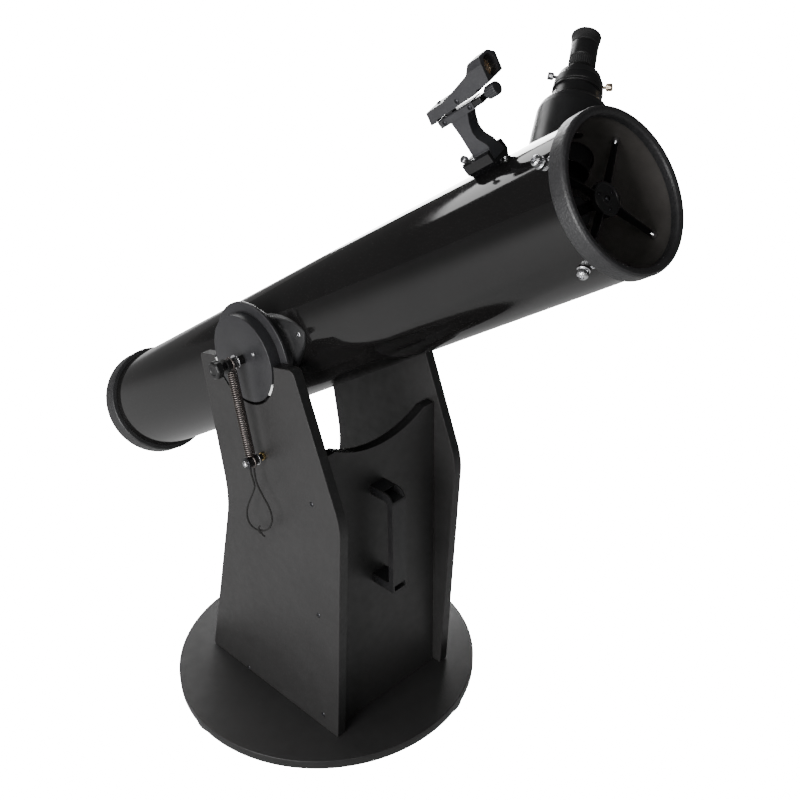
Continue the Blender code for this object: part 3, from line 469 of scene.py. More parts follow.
def carve(target, shape, at, operation="DIFFERENCE"):
    """Apply a Boolean to a piece's mesh and drop the cutter."""
    bmesh.ops.recalc_face_normals(shape, faces=shape.faces)
    mesh = bpy.data.meshes.new("cutter")
    shape.to_mesh(mesh)
    shape.free()
    for surface in target.data.materials:
        mesh.materials.append(surface)
    guide = bpy.data.objects.new("cutter", mesh)
    bpy.context.collection.objects.link(guide)
    guide.matrix_world = at
    kept = [(m.width, m.segments) for m in target.modifiers if m.type == "BEVEL"]
    target.modifiers.clear()
    step = target.modifiers.new("carve", "BOOLEAN")
    step.operation = operation
    step.solver = "EXACT"
    step.object = guide
    bpy.context.view_layer.update()
    result = bpy.data.meshes.new_from_object(target.evaluated_get(bpy.context.evaluated_depsgraph_get()))
    target.modifiers.clear()
    old = target.data
    target.data = result
    bpy.data.meshes.remove(old)
    bpy.data.objects.remove(guide, do_unlink=True)
    bpy.data.meshes.remove(mesh)
    result.shade_smooth()
    result.set_sharp_from_angle(angle=math.radians(SHARP_ANGLE))
    for width, segments in kept:
        bevelled(target, width, segments)
    return target


def cylinder(radius, low, high, sides=64):
    """A plain cylinder for carving."""
    return turned([(0.0, low), (radius, low), (radius, high), (0.0, high)], sides)


# ---------------------------------------------------------------- fastenings
def pan_screw(name, at, radius, body, finish=None, height=None):
    """A pan-head screw with a cross recess; at has Z pointing out of the surface."""
    rise = height if height else radius * 0.62
    sides = 40
    arm, slit = 0.52, 0.17

    def recess(r, a):
        x, y = r * math.cos(a), r * math.sin(a)
        inside = max(abs(x), abs(y)) < arm * radius and min(abs(x), abs(y)) < slit * radius
        return 0.55 * rise if inside else 0.0

    shape = bmesh.new()
    rings = []
    centre = shape.verts.new((0.0, 0.0, rise * 0.45))
    for t in (0.08, 0.16, 0.24, 0.34, 0.44, 0.52, 0.6, 0.72, 0.84):
        r = t * radius
        top = rise * (1.0 - 0.24 * t ** 2 - 0.3 * t ** 6)
        rings.append([shape.verts.new((r * math.cos(a), r * math.sin(a), top - recess(r, a)))
                      for a in (2.0 * math.pi * i / sides for i in range(sides))])
    for r, z in ((radius * 0.95, rise * 0.42), (radius, rise * 0.16), (radius * 0.99, 0.0),
                 (radius * 0.92, -0.0004)):
        rings.append([shape.verts.new((r * math.cos(a), r * math.sin(a), z))
                      for a in (2.0 * math.pi * i / sides for i in range(sides))])
    for i in range(sides):
        shape.faces.new((centre, rings[0][i], rings[0][(i + 1) % sides]))
    for low, high in zip(rings, rings[1:]):
        for i in range(sides):
            j = (i + 1) % sides
            shape.faces.new((low[i], high[i], high[j], low[j]))
    shape.faces.new(list(reversed(rings[-1])))
    return piece(name, shape, finish or CHROME, body, at, sharp=40.0)


def ribbed(count, depth, low, high):
    """A wave that cuts ribs into a turned piece between two heights."""
    def wave(radius, height, angle):
        if radius > 1e-4 and low <= height <= high:
            return radius - depth * (0.5 + 0.5 * math.cos(count * angle))
        return radius
    return wave


# ---------------------------------------------------------------- cords first
def cord_route(side):
    """The loop of cord below a spring's lower eye, in world metres."""
    eye = Vector((side * SPRING_X, AZIMUTH_Y + LOWER_POST[0], DISC_TOP + LOWER_POST[1]))
    start = -(EYE_R + WIRE_R + GAP + 0.0002)
    route = [(0.0016, 0.0022, start), (0.0016, 0.002, -0.021), (0.0016, -0.0015, -0.031),
             (0.0016, -0.004, -0.041), (0.0014, 0.0015, -0.054), (0.0008, 0.0115, -0.072),
             (0.0004, 0.0205, -0.09), (0.0, 0.0245, -0.106), (0.0, 0.021, -0.119),
             (0.0, 0.0105, -0.124), (0.0, -0.006, -0.1215), (-0.0002, -0.02, -0.1135),
             (-0.0006, -0.0315, -0.1005), (-0.001, -0.0365, -0.0845), (-0.0014, -0.031, -0.068),
             (-0.0016, -0.019, -0.055), (-0.0018, -0.008, -0.042), (-0.0018, -0.0035, -0.031),
             (-0.0016, -0.0022, -0.021), (-0.0016, -0.0022, start)]
    points = [eye + Vector((side * x, y, z)) for x, y, z in route]
    return eye, smooth(points, 0.0062)


def make_cord(hand, side):
    """One pull cord: the hanging loop, its knot at the bottom and the two short tails."""
    eye, line = cord_route(side)
    curve = bpy.data.curves.new(f"pull_cord_line_{hand}", "CURVE")
    curve.dimensions = "3D"
    curve.bevel_depth = CORD_R
    curve.bevel_resolution = 3
    curve.use_fill_caps = True
    curve.use_path = False
    spline = curve.splines.new("POLY")
    spline.points.add(len(line) - 1)
    for spot, point in zip(spline.points, line):
        spot.co = (*point, 1.0)
    curve.materials.append(CORD)
    cord = bpy.data.objects.new(f"pull_cord_line_{hand}", curve)
    bpy.context.collection.objects.link(cord)
    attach(cord, "rocker_box")
    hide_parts(f"pull_cord_{hand}")
    middle = eye + Vector((0.0, -0.006, -0.1222))
    loops = []
    for k in range(28):
        a = 2.0 * math.pi * k / 28
        loops.append(middle + Vector((side * 0.0019 * math.sin(2 * a), 0.0026 * math.cos(a),
                                      0.002 * math.sin(3 * a))))
    knot = piece(f"cord_knot_{hand}", sweep(loops, CORD_R * 0.98, 8, closed=True), CORD, "rocker_box")
    for number, bend in enumerate((((0.0004, -0.0022, -0.0012), (0.0006, -0.0065, -0.0038),
                                    (0.0002, -0.0105, -0.0042)),
                                   ((0.0004, 0.001, 0.002), (0.001, 0.002, 0.0062),
                                    (0.0004, -0.0006, 0.01))), 1):
        path = [middle] + [middle + Vector((side * x, y, z)) for x, y, z in bend]
        shape = sweep(smooth(path, 0.0012), CORD_R * 0.92, 8)
        piece(f"cord_tail_{hand}_{number}", shape, CORD, "rocker_box")


make_cord("left", -1.0)
make_cord("right", 1.0)
# ---------------------------------------------------------------- boards
def board(name, outline, thickness, at, body, node, cuts=(), edge=0.0007):
    """A faced board with banded edges; cuts are (shape, place) taken out of it."""
    shape = prism(outline, 0.0, thickness)
    shape.normal_update()
    for face in shape.faces:
        if abs(face.normal.z) < 0.5:
            face.material_index = 1
    made = piece(name, shape, [BOARD, EDGE], body, at, nodes=(node,))
    for cut, place in cuts:
        for face in cut.faces:
            face.material_index = 1
        carve(made, cut, place)
    bevelled(made, edge, 2)
    return made


def base_boards():
    """The three-cornered ground board with its feet, and the rocker's disc."""
    outline = []
    for angle in (50.0, 170.0, 290.0):
        a = math.radians(angle)
        outline += arc((0.205 * math.cos(a), 0.205 * math.sin(a)), 0.05, angle - 60.0, angle + 60.0, 40)
    board("ground_board_face", outline, BOARD_TOP - BOARD_LOW, GROUND @ move(0, 0, BOARD_LOW), "ground_base",
          "ground_board", [(cylinder(0.0056, -0.01, 0.05, 48), GROUND @ move(0, 0, BOARD_LOW))])
    for number, angle in enumerate((170.0, 290.0, 50.0), 1):
        a = math.radians(angle)
        profile = soft([(0.0, 0.0), (0.015, 0.0), (0.0166, 0.0016), (0.019, 0.022), (0.019, 0.0257),
                        (0.0, 0.0257)], 0.0008)
        spot = GROUND @ move(0.196 * math.cos(a), 0.196 * math.sin(a), 0.0)
        piece(f"foot_moulding_{number}", turned(profile, 96), FOOT_RUBBER, "ground_base", spot,
              nodes=(f"foot_{number}",))
    rim = soft([(0.0058, -DISC_T), (DISC_R, -DISC_T), (DISC_R, 0.0), (0.0058, 0.0)], 0.0009)
    disc = turned(rim, 256)
    disc.normal_update()
    for face in disc.faces:
        if abs(face.normal.z) < 0.5:
            face.material_index = 1
    piece("disc_face", disc, [BOARD, EDGE], "rocker_box", ROCKER, nodes=("rocker_disc",), sharp=50.0)


def side_outline():
    """The outline of a side board as (y, z), with its round notch worked in."""
    corners = [(0.1591, GAP), (0.067, 0.3566), (0.1033, 0.601), (-0.1135, 0.6452),
               (-0.1975, 0.425), (-0.1696, GAP)]
    return soft(corners, [0.003, 0.2, 0.007, 0.01, 0.11, 0.003], 28)


def rocker_boards():
    """Two side boards and the front board."""
    for hand, side in BOTH_HANDS:
        inner = min(side * SIDE_INNER, side * SIDE_OUTER)
        notch = arc((ALTITUDE_DY, ALTITUDE_H), NOTCH_R, 180.0, 360.0, 96)
        notch += [(ALTITUDE_DY + NOTCH_R, 0.8), (ALTITUDE_DY - NOTCH_R, 0.8)]
        hole = ROCKER @ move(0.0, *LOWER_POST) @ (ALONG_X if side > 0 else ALONG_MINUS_X)
        board(f"{hand}_side_face", side_outline(), 0.016, ROCKER @ move(inner, 0, 0) @ BOARD_PLANE, "rocker_box",
              f"{hand}_side_board", [(prism(notch, -0.1, 0.1), ROCKER @ move(inner, 0, 0) @ BOARD_PLANE),
                                     (cylinder(0.003, 0.1169, 0.2, 32), hole)])
    half = SIDE_INNER - GAP
    swing = math.degrees(math.asin(0.09 / 0.1745))
    scoop = arc((0.0, 0.491 + 0.1745), 0.1745, swing - 90.0, -swing - 90.0, 64)
    outline = [(-half, GAP), (half, GAP), (half, scoop[0][1])] + scoop + [(-half, scoop[0][1])]
    place = ROCKER @ move(0.0, FRONT_FACE_Y + FRONT_BOARD_T, 0.0) @ turn("X", 90.0)
    board("front_face", outline, FRONT_BOARD_T, place, "rocker_box", "front_board")
    screws = [(-0.1079, 0.4995), (-0.1089, 0.2965), (-0.1059, 0.0885), (0.0891, 0.0645)]
    for hand, side in BOTH_HANDS:
        outward = ALONG_X if side > 0 else ALONG_MINUS_X
        for number, (y, z) in enumerate(screws, 1):
            at = ROCKER @ move(side * (SIDE_OUTER - 0.0004), y - AZIMUTH_Y, z - DISC_TOP) @ outward
            pan_screw(f"board_screw_{hand}_{number}", at, 0.0044, "rocker_box", BLACK_STEEL, height=0.0012)


base_boards()
rocker_boards()


def pads():
    """The low-friction pads."""
    for number, angle in enumerate((170.0, 290.0, 50.0), 1):
        a = math.radians(angle)
        at = GROUND @ move(0.196 * math.cos(a), 0.196 * math.sin(a), BOARD_TOP + GAP) @ turn("Z", angle)
        outline = soft([(-0.012, -0.018), (0.012, -0.018), (0.012, 0.018), (-0.012, 0.018)], 0.002, 5)
        piece(f"azimuth_slider_{number}", prism(outline, 0.0, 0.0024), PTFE, "ground_base", at,
              nodes=(f"azimuth_pad_{number}",), edges=0.0004, segments=2)


pads()


# ---------------------------------------------------------------- carry handle
def handle():
    """A moulded bow with a pocket for a screw in each corner."""
    face = FRONT_FACE_Y - GAP
    reach = face - 0.046
    low, high, arm, strap = 0.25, 0.429, 0.015, 0.01
    corners = [(face, low), (reach, low), (reach, high), (face, high), (face, high - arm),
               (reach + strap, high - arm), (reach + strap, low + arm), (face, low + arm)]
    x, half, wall = -0.012, 0.0145, 0.0026
    outline = soft(corners, [0.001, 0.003, 0.018, 0.001, 0.001, 0.008, 0.004, 0.001], 12)
    at = ROCKER @ move(x, 0, 0) @ BOARD_PLANE
    bow = piece("handle_bow", prism(outline, -half, half), PLASTIC, "rocker_box", at, nodes=("carry_handle",))
    for name, bottom, top in (("low", low + wall, low + arm - wall), ("high", high - arm + wall, high - wall)):
        carve(bow, block((x - half + wall, reach - 0.01, bottom), (x + half - wall, face - 0.012, top)), ROCKER)
        screw = ROCKER @ move(x, face - 0.0121, (bottom + top) / 2.0) @ turn("X", 90.0)
        pan_screw(f"handle_screw_{name}", screw, 0.0042, "rocker_box", BLACK_STEEL)
    carve(bow, block((x - half + wall, reach - 0.01, high - arm + wall),
                     (x + half - wall, reach + 0.022, high + 0.01)), ROCKER)
    bevelled(bow, 0.0011)


handle()


# ---------------------------------------------------------------- springs and their posts
COIL_PITCH = 0.0033


def spring(hand, side):
    """A close-wound spring with a hook at both ends."""
    lower = Vector((side * SPRING_X, LOWER_POST[0], LOWER_POST[1]))
    upper = Vector((side * SPRING_X, ALTITUDE_DY, ALTITUDE_H))
    span = (upper - lower).length
    at = ROCKER @ Matrix.Translation((lower + upper) / 2.0) @ Matrix.Rotation(
        math.atan2(lower.y - upper.y, upper.z - lower.z), 4, "X")
    end = span / 2.0 - BUSHING_R - 0.0012
    mid = COIL_R - WIRE_R
    turns = round(2.0 * end / COIL_PITCH)
    path = []
    for k in range(turns * 18 + 1):
        a = 2.0 * math.pi * k / 18
        path.append(Vector((mid * math.cos(a), mid * math.sin(a), -end + 2.0 * end * k / (turns * 18))))
    top = [Vector((mid * 0.8, 0.0016, end + 0.0004)), Vector((mid * 0.35, 0.003, end + 0.001))]
    line = path + top + [Vector((0.0, EYE_R * math.sin(math.radians(a)),
                                 span / 2.0 - EYE_R * math.cos(math.radians(a))))
                         for a in range(28, 340, 12)]
    tail = [Vector((0.0, EYE_R * math.sin(math.radians(a)), -span / 2.0 + EYE_R * math.cos(math.radians(a))))
            for a in range(338, 26, -12)]
    base = [Vector((mid * 0.35, 0.003, -end - 0.001)), Vector((mid * 0.8, 0.0012, -end - 0.0004))]
    piece(f"spring_coil_{hand}", sweep(tail + base + line, WIRE_R, 7), WIRE, "rocker_box", at,
          nodes=(f"tension_spring_{hand}",), sharp=60.0)


def posts(hand, side):
    """The lower post on the side board and the knob on the altitude axis."""
    outward = ALONG_X if side > 0 else ALONG_MINUS_X
    low = ROCKER @ move(0.0, *LOWER_POST) @ outward
    high = TUBE @ outward
    wall = SIDE_OUTER + GAP
    sleeve = soft([(0.0, 0.118), (0.0027, 0.118), (0.0027, wall), (0.0046, wall), (0.0048, 0.1415), (0.0, 0.1415)],
                  0.0004)
    piece(f"post_sleeve_{hand}", turned(sleeve, 48), SATIN, "rocker_box", low, nodes=(f"spring_post_{hand}",))
    nut = soft([(0.0049, wall), (0.0064, wall), (0.0064, 0.1332), (0.0049, 0.1332)], 0.0004)
    piece(f"post_brass_nut_{hand}", turned(nut, 48, ribbed(10, 0.0008, 0.125, 0.14)), BRASS, "rocker_box", low)
    bush = soft([(0.0, 0.1416), (BUSHING_R, 0.1427), (BUSHING_R - 0.0006, 0.1514), (BUSHING_R, 0.1601),
                 (0.0, 0.1602)], 0.0003)
    piece(f"post_bushing_{hand}", turned(bush, 48), SATIN, "rocker_box", low)
    for name, start in (("inner", 0.1415), ("outer", 0.1602)):
        reach = 0.0094 if name == "inner" else 0.0088
        ring = soft([(0.0, start), (reach, start), (reach, start + 0.0012), (0.0, start + 0.0012)], 0.0003)
        piece(f"post_washer_{name}_{hand}", turned(ring, 64), BLACK_STEEL if name == "outer" else CHROME,
              "rocker_box", low)
    pan_screw(f"post_screw_{hand}", low @ move(0, 0, 0.1613), 0.0052, "rocker_box", CHROME, height=0.005)

    stem = soft([(0.0, 0.113), (0.003, 0.113), (0.003, wall), (0.0065, wall), (0.0062, 0.1412), (0.0, 0.1412)],
                0.0004)
    piece(f"axis_sleeve_{hand}", turned(stem, 64), SATIN, "tube_assembly", high, nodes=(f"bearing_knob_{hand}",))
    bush = soft([(0.0, 0.1425), (BUSHING_R, 0.1426), (BUSHING_R - 0.0006, 0.1514), (BUSHING_R, 0.1602),
                 (0.0, 0.1603)], 0.0003)
    piece(f"axis_bushing_{hand}", turned(bush, 64), SATIN, "tube_assembly", high)
    for name, start in (("inner", 0.1412), ("outer", 0.1602)):
        ring = soft([(0.0, start), (0.011, start), (0.011, start + 0.0013), (0.0, start + 0.0013)], 0.0004)
        piece(f"axis_washer_{name}_{hand}", turned(ring, 80), CHROME if name == "inner" else SATIN, "tube_assembly",
              high)
    neck = soft([(0.0, 0.1614), (0.0058, 0.1614), (0.0056, 0.165), (0.0066, 0.1696), (0.0, 0.1696)], 0.0008)
    piece(f"knob_neck_{hand}", turned(neck, 64), SATIN, "tube_assembly", high)
    grip = soft([(0.0, 0.169), (0.01, 0.1692), (0.0136, 0.1712), (0.0136, 0.1794), (0.0118, 0.1815),
                 (0.0072, 0.1815), (0.0064, 0.1805), (0.0, 0.1805)], 0.0012, 4)

    def lobes(radius, height, angle):
        return radius * (1.0 - 0.075 * (0.5 + 0.5 * math.cos(7.0 * angle)) * (radius > 0.0085))

    piece(f"knob_grip_{hand}", turned(grip, 168, lobes), SATIN, "tube_assembly", high, sharp=50.0)


for hand, side in BOTH_HANDS:
    spring(hand, side)
    posts(hand, side)


# ---------------------------------------------------------------- altitude bearings
def lozenge(level, half_length, half_width, power, count=128):
    """A ring of points across the bearing axis, stretched along the tube."""
    ring = []
    for i in range(count):
        a = 2.0 * math.pi * i / count
        c, s = math.cos(a), math.sin(a)
        along = math.copysign(abs(c) ** (2.0 / power), c) * half_length
        across = math.copysign(abs(s) ** (2.0 / power), s) * half_width
        ring.append((level, across, along))
    return ring


def altitude_bearing(hand, side):
    """A saddle on the tube, a thin guide flange and the running drum."""
    steps = [(0.056, 0.114, 0.05, 1.6), (0.0915, 0.114, 0.05, 1.6), (0.0928, 0.113, 0.049, 1.6),
             (0.0936, 0.1105, 0.048, 1.62), (0.0941, 0.088, 0.053, 1.75), (0.095, 0.078, 0.061, 1.9),
             (0.0965, 0.0745, 0.067, 2.0), (0.1, 0.0735, 0.072, 2.0), (0.1078, 0.0735, 0.0735, 2.0)]
    saddle = piece(f"bearing_saddle_{hand}", loft([lozenge(side * x, a, b, p) for x, a, b, p in steps]), SADDLE,
                   "tube_assembly", TUBE, nodes=(f"altitude_bearing_{hand}",), sharp=40.0)
    carve(saddle, cylinder(TUBE_R + GAP, -0.3, 0.3, 192), TUBE)
    outward = ALONG_X if side > 0 else ALONG_MINUS_X
    flange = soft([(0.0, 0.1076), (FLANGE_R, 0.1076), (FLANGE_R, 0.1118), (0.0, 0.1118)], 0.001, 4)
    piece(f"bearing_flange_{hand}", turned(flange, 192), BEARING, "tube_assembly", TUBE @ outward,
          sharp=50.0)
    drum = soft([(0.0036, 0.1116), (BEARING_R, 0.1116), (BEARING_R, BEARING_FACE), (0.0036, BEARING_FACE)], 0.0009, 4)
    piece(f"bearing_drum_{hand}", turned(drum, 192), BEARING, "tube_assembly", TUBE @ outward,
          sharp=50.0)
    for number, station in enumerate((0.0304, -0.0304), 1):
        at = TUBE @ move(side * (BEARING_FACE - 0.0003), 0.0, station) @ outward
        pan_screw(f"bearing_screw_{hand}_{number}", at, 0.003, "tube_assembly", CHROME, height=0.0014)
    for number, station in enumerate((0.102, -0.102), 1):
        angle = 180.0 if side < 0 else 0.0
        at = radial(station, angle) @ move(0, 0, 0.0925)
        pan_screw(f"saddle_bolt_{hand}_{number}", at, 0.004, "tube_assembly", CHROME, height=0.0026)


for hand, side in BOTH_HANDS:
    altitude_bearing(hand, side)


# ---------------------------------------------------------------- optical tube and its end rings
def shell():
    """The rolled tube: gloss enamel outside, flat black inside."""
    low, high = REAR_END + RING_LIP + GAP, FRONT_END - RING_LIP - GAP
    shape = turned([(INNER_R, low), (TUBE_R, low), (TUBE_R, high), (INNER_R, high)], 240)
    shape.normal_update()
    for face in shape.faces:
        centre = face.calc_center_median()
        if math.hypot(centre.x, centre.y) < TUBE_R - 0.0003:
            face.material_index = 1
    tube = piece("tube_shell", shape, [ENAMEL, LINING], "tube_assembly", TUBE, nodes=("optical_tube",))
    hole = cylinder(DRAWTUBE_R + 0.003, 0.05, 0.12, 96)
    for face in hole.faces:
        face.material_index = 1
    carve(tube, hole, FOCUS)


def end_rings():
    """Moulded rings round both ends of the tube."""
    for name, node, outer, length, mouth, out in (
            ("front_ring_moulding", "front_end_ring", 0.0946, 0.0228, FRONT_END, 1.0),
            ("rear_ring_moulding", "rear_end_ring", 0.0986, 0.0348, REAR_END, -1.0)):
        bore = INNER_R - 0.0045
        profile = [(TUBE_R + GAP, -length), (outer - 0.0016, -length), (outer, -length + 0.0022),
                   (outer, -0.0042), (outer - 0.0008, -0.002), (outer - 0.003, 0.0), (bore + 0.004, 0.0),
                   (bore + 0.0008, -0.0016), (bore, -0.004), (bore, -0.012), (INNER_R - GAP, -0.012),
                   (INNER_R - GAP, -RING_LIP), (TUBE_R + GAP, -RING_LIP)]
        rounded = soft([(r, mouth + out * z) for r, z in profile],
                       [0.0, 0.0008, 0.001, 0.001, 0.0012, 0.0012, 0.001, 0.001, 0.0008, 0.0004, 0.0, 0.0,
                        0.0], 3)
        piece(name, turned(rounded, 240), RING, "tube_assembly", TUBE, nodes=(node,), sharp=60.0)
    for number, angle in enumerate((138.0, 42.0, 222.0, 318.0), 1):
        at = radial(0.5994, angle) @ move(0, 0, TUBE_R - 0.0002)
        pan_screw(f"ring_screw_{number}", at, 0.0026, "tube_assembly", CHROME, height=0.0014)
    for number, angle in enumerate((30.0, 150.0, 270.0), 1):
        at = radial(REAR_END + 0.02, angle) @ move(0, 0, 0.0984)
        pan_screw(f"rear_ring_screw_{number}", at, 0.0026, "tube_assembly", BLACK_STEEL, height=0.0012)


shell()
end_rings()


# ---------------------------------------------------------------- spider and secondary mirror
def spider():
    """Hub, vanes, their nuts and the slanted secondary mirror on its holder."""
    hub = soft([(0.0, SPIDER_S - 0.004), (HUB_R - 0.0008, SPIDER_S - 0.004), (HUB_R, SPIDER_S - 0.003),
                (HUB_R, SPIDER_S + 0.0034), (HUB_R - 0.0009, SPIDER_S + 0.004), (HUB_R - 0.0024, SPIDER_S + 0.004),
                (HUB_R - 0.003, SPIDER_S + 0.0032), (0.0078, SPIDER_S + 0.0032), (0.0072, SPIDER_S + 0.0038),
                (0.0, SPIDER_S + 0.0038)], 0.0004)
    piece("spider_hub", turned(hub, 128), SATIN, "tube_assembly", TUBE, nodes=("spider",),
          sharp=50.0)
    pan_screw("spider_centre_bolt", TUBE @ move(0, 0, SPIDER_S + 0.0034), 0.0042, "tube_assembly", BLACK_STEEL,
              height=0.0024)
    for number, angle in enumerate((20.0, 140.0, 260.0), 1):
        a = math.radians(angle)
        at = TUBE @ move(0.012 * math.cos(a), 0.012 * math.sin(a), SPIDER_S + 0.0026)
        pan_screw(f"hub_screw_{number}", at, 0.0021, "tube_assembly", BLACK_STEEL, height=0.0018)
    for number, angle in enumerate(VANE_ANGLES, 1):
        station = radial(SPIDER_S, angle)
        rings = []
        for t in (0.0, 0.25, 0.5, 0.75, 1.0):
            level = 0.015 + (INNER_R - 0.0045 - 0.015) * t
            back, ahead = -0.0095 - 0.001 * t, 0.0035 - 0.0055 * t
            rings.append([(back, -0.0005, level), (ahead, -0.0005, level), (ahead + 0.0002, 0.0, level),
                          (ahead, 0.0005, level), (back, 0.0005, level), (back - 0.0002, 0.0, level)])
        piece(f"spider_vane_{number}", loft(rings), SATIN, "tube_assembly", station)
        station = radial(NUT_S, angle)
        stud = soft([(0.0, 0.08), (0.002, 0.08), (0.002, 0.0975), (0.0, 0.0975)], 0.0003)
        piece(f"vane_stud_{number}", turned(stud, 32), CHROME, "tube_assembly", station)
        cap = soft([(0.0, 0.079), (0.0022, 0.08), (0.0042, 0.083), (0.0044, 0.085), (0.0044, 0.0886),
                    (0.0, 0.0886)], 0.0006)
        piece(f"vane_cap_nut_{number}", turned(cap, 48), CHROME, "tube_assembly", station)
        low = TUBE_R + 0.0006
        nut = soft([(0.0024, low), (0.0074, low), (0.0074, low + 0.0011), (0.006, low + 0.0013),
                    (0.0066, low + 0.0026),
                    (0.0066, low + 0.0074), (0.0052, low + 0.0094), (0.0026, low + 0.01), (0.0024, low + 0.01)],
                   0.0005)
        piece(f"vane_nut_{number}", turned(nut, 144, ribbed(24, 0.00035, low + 0.002, low + 0.008)), CHROME,
              "tube_assembly", station, nodes=(f"spider_nut_{number}",), sharp=45.0)

    a = math.radians(FOCUS_ANGLE)
    toward = Vector((math.cos(a), math.sin(a), 0.0))

    def slanted(radius, level, slope, sides=96):
        ring = []
        for i in range(sides):
            angle = 2.0 * math.pi * i / sides
            point = Vector((radius * math.cos(angle), radius * math.sin(angle), level))
            point.z += slope * point.dot(toward)
            ring.append(point)
        return ring

    glass = 0.007
    seat = FOCUS_S + glass + 2.0 * GAP
    shade = seat + 0.0175 + 0.012
    mirror = [slanted(0.017, FOCUS_S, 1.0), slanted(0.0175, FOCUS_S + 0.0006, 1.0),
              slanted(0.0175, FOCUS_S + glass, 1.0)]
    piece("slanted_mirror", loft(mirror), MIRROR, "tube_assembly", TUBE, nodes=("secondary_mirror",))
    holder = [slanted(0.0175, seat, 1.0), slanted(0.0175, shade - 0.001, 0.0), slanted(0.0165, shade, 0.0),
              slanted(0.0062, shade + 0.001, 0.0), slanted(0.0058, shade + 0.002, 0.0),
              slanted(0.0058, SPIDER_S - 0.0044, 0.0)]
    piece("mirror_stalk", loft(holder), SATIN, "tube_assembly", TUBE, nodes=("secondary_holder",))


spider()


# ---------------------------------------------------------------- primary mirror end
def rear_cell():
    """The collimation knobs behind the mirror cell."""
    for number, angle in enumerate((90.0, 210.0, 330.0), 1):
        a = math.radians(angle)
        at = TUBE @ move(0.058 * math.cos(a), 0.058 * math.sin(a), 0.0)
        body = ("collimation_top", "collimation_left", "collimation_right")[number - 1]
        knob = soft([(0.0, -0.556), (0.008, -0.556), (0.01, -0.5545), (0.01, -0.544), (0.0062, -0.5405),
                     (0.003, -0.54), (0.003, -0.525), (0.0, -0.525)], 0.0008)
        piece(f"collimation_grip_{number}", turned(knob, 120, ribbed(20, 0.0006, -0.555, -0.543)), SATIN, body, at,
              nodes=(f"collimation_knob_{number}",), sharp=45.0)


rear_cell()


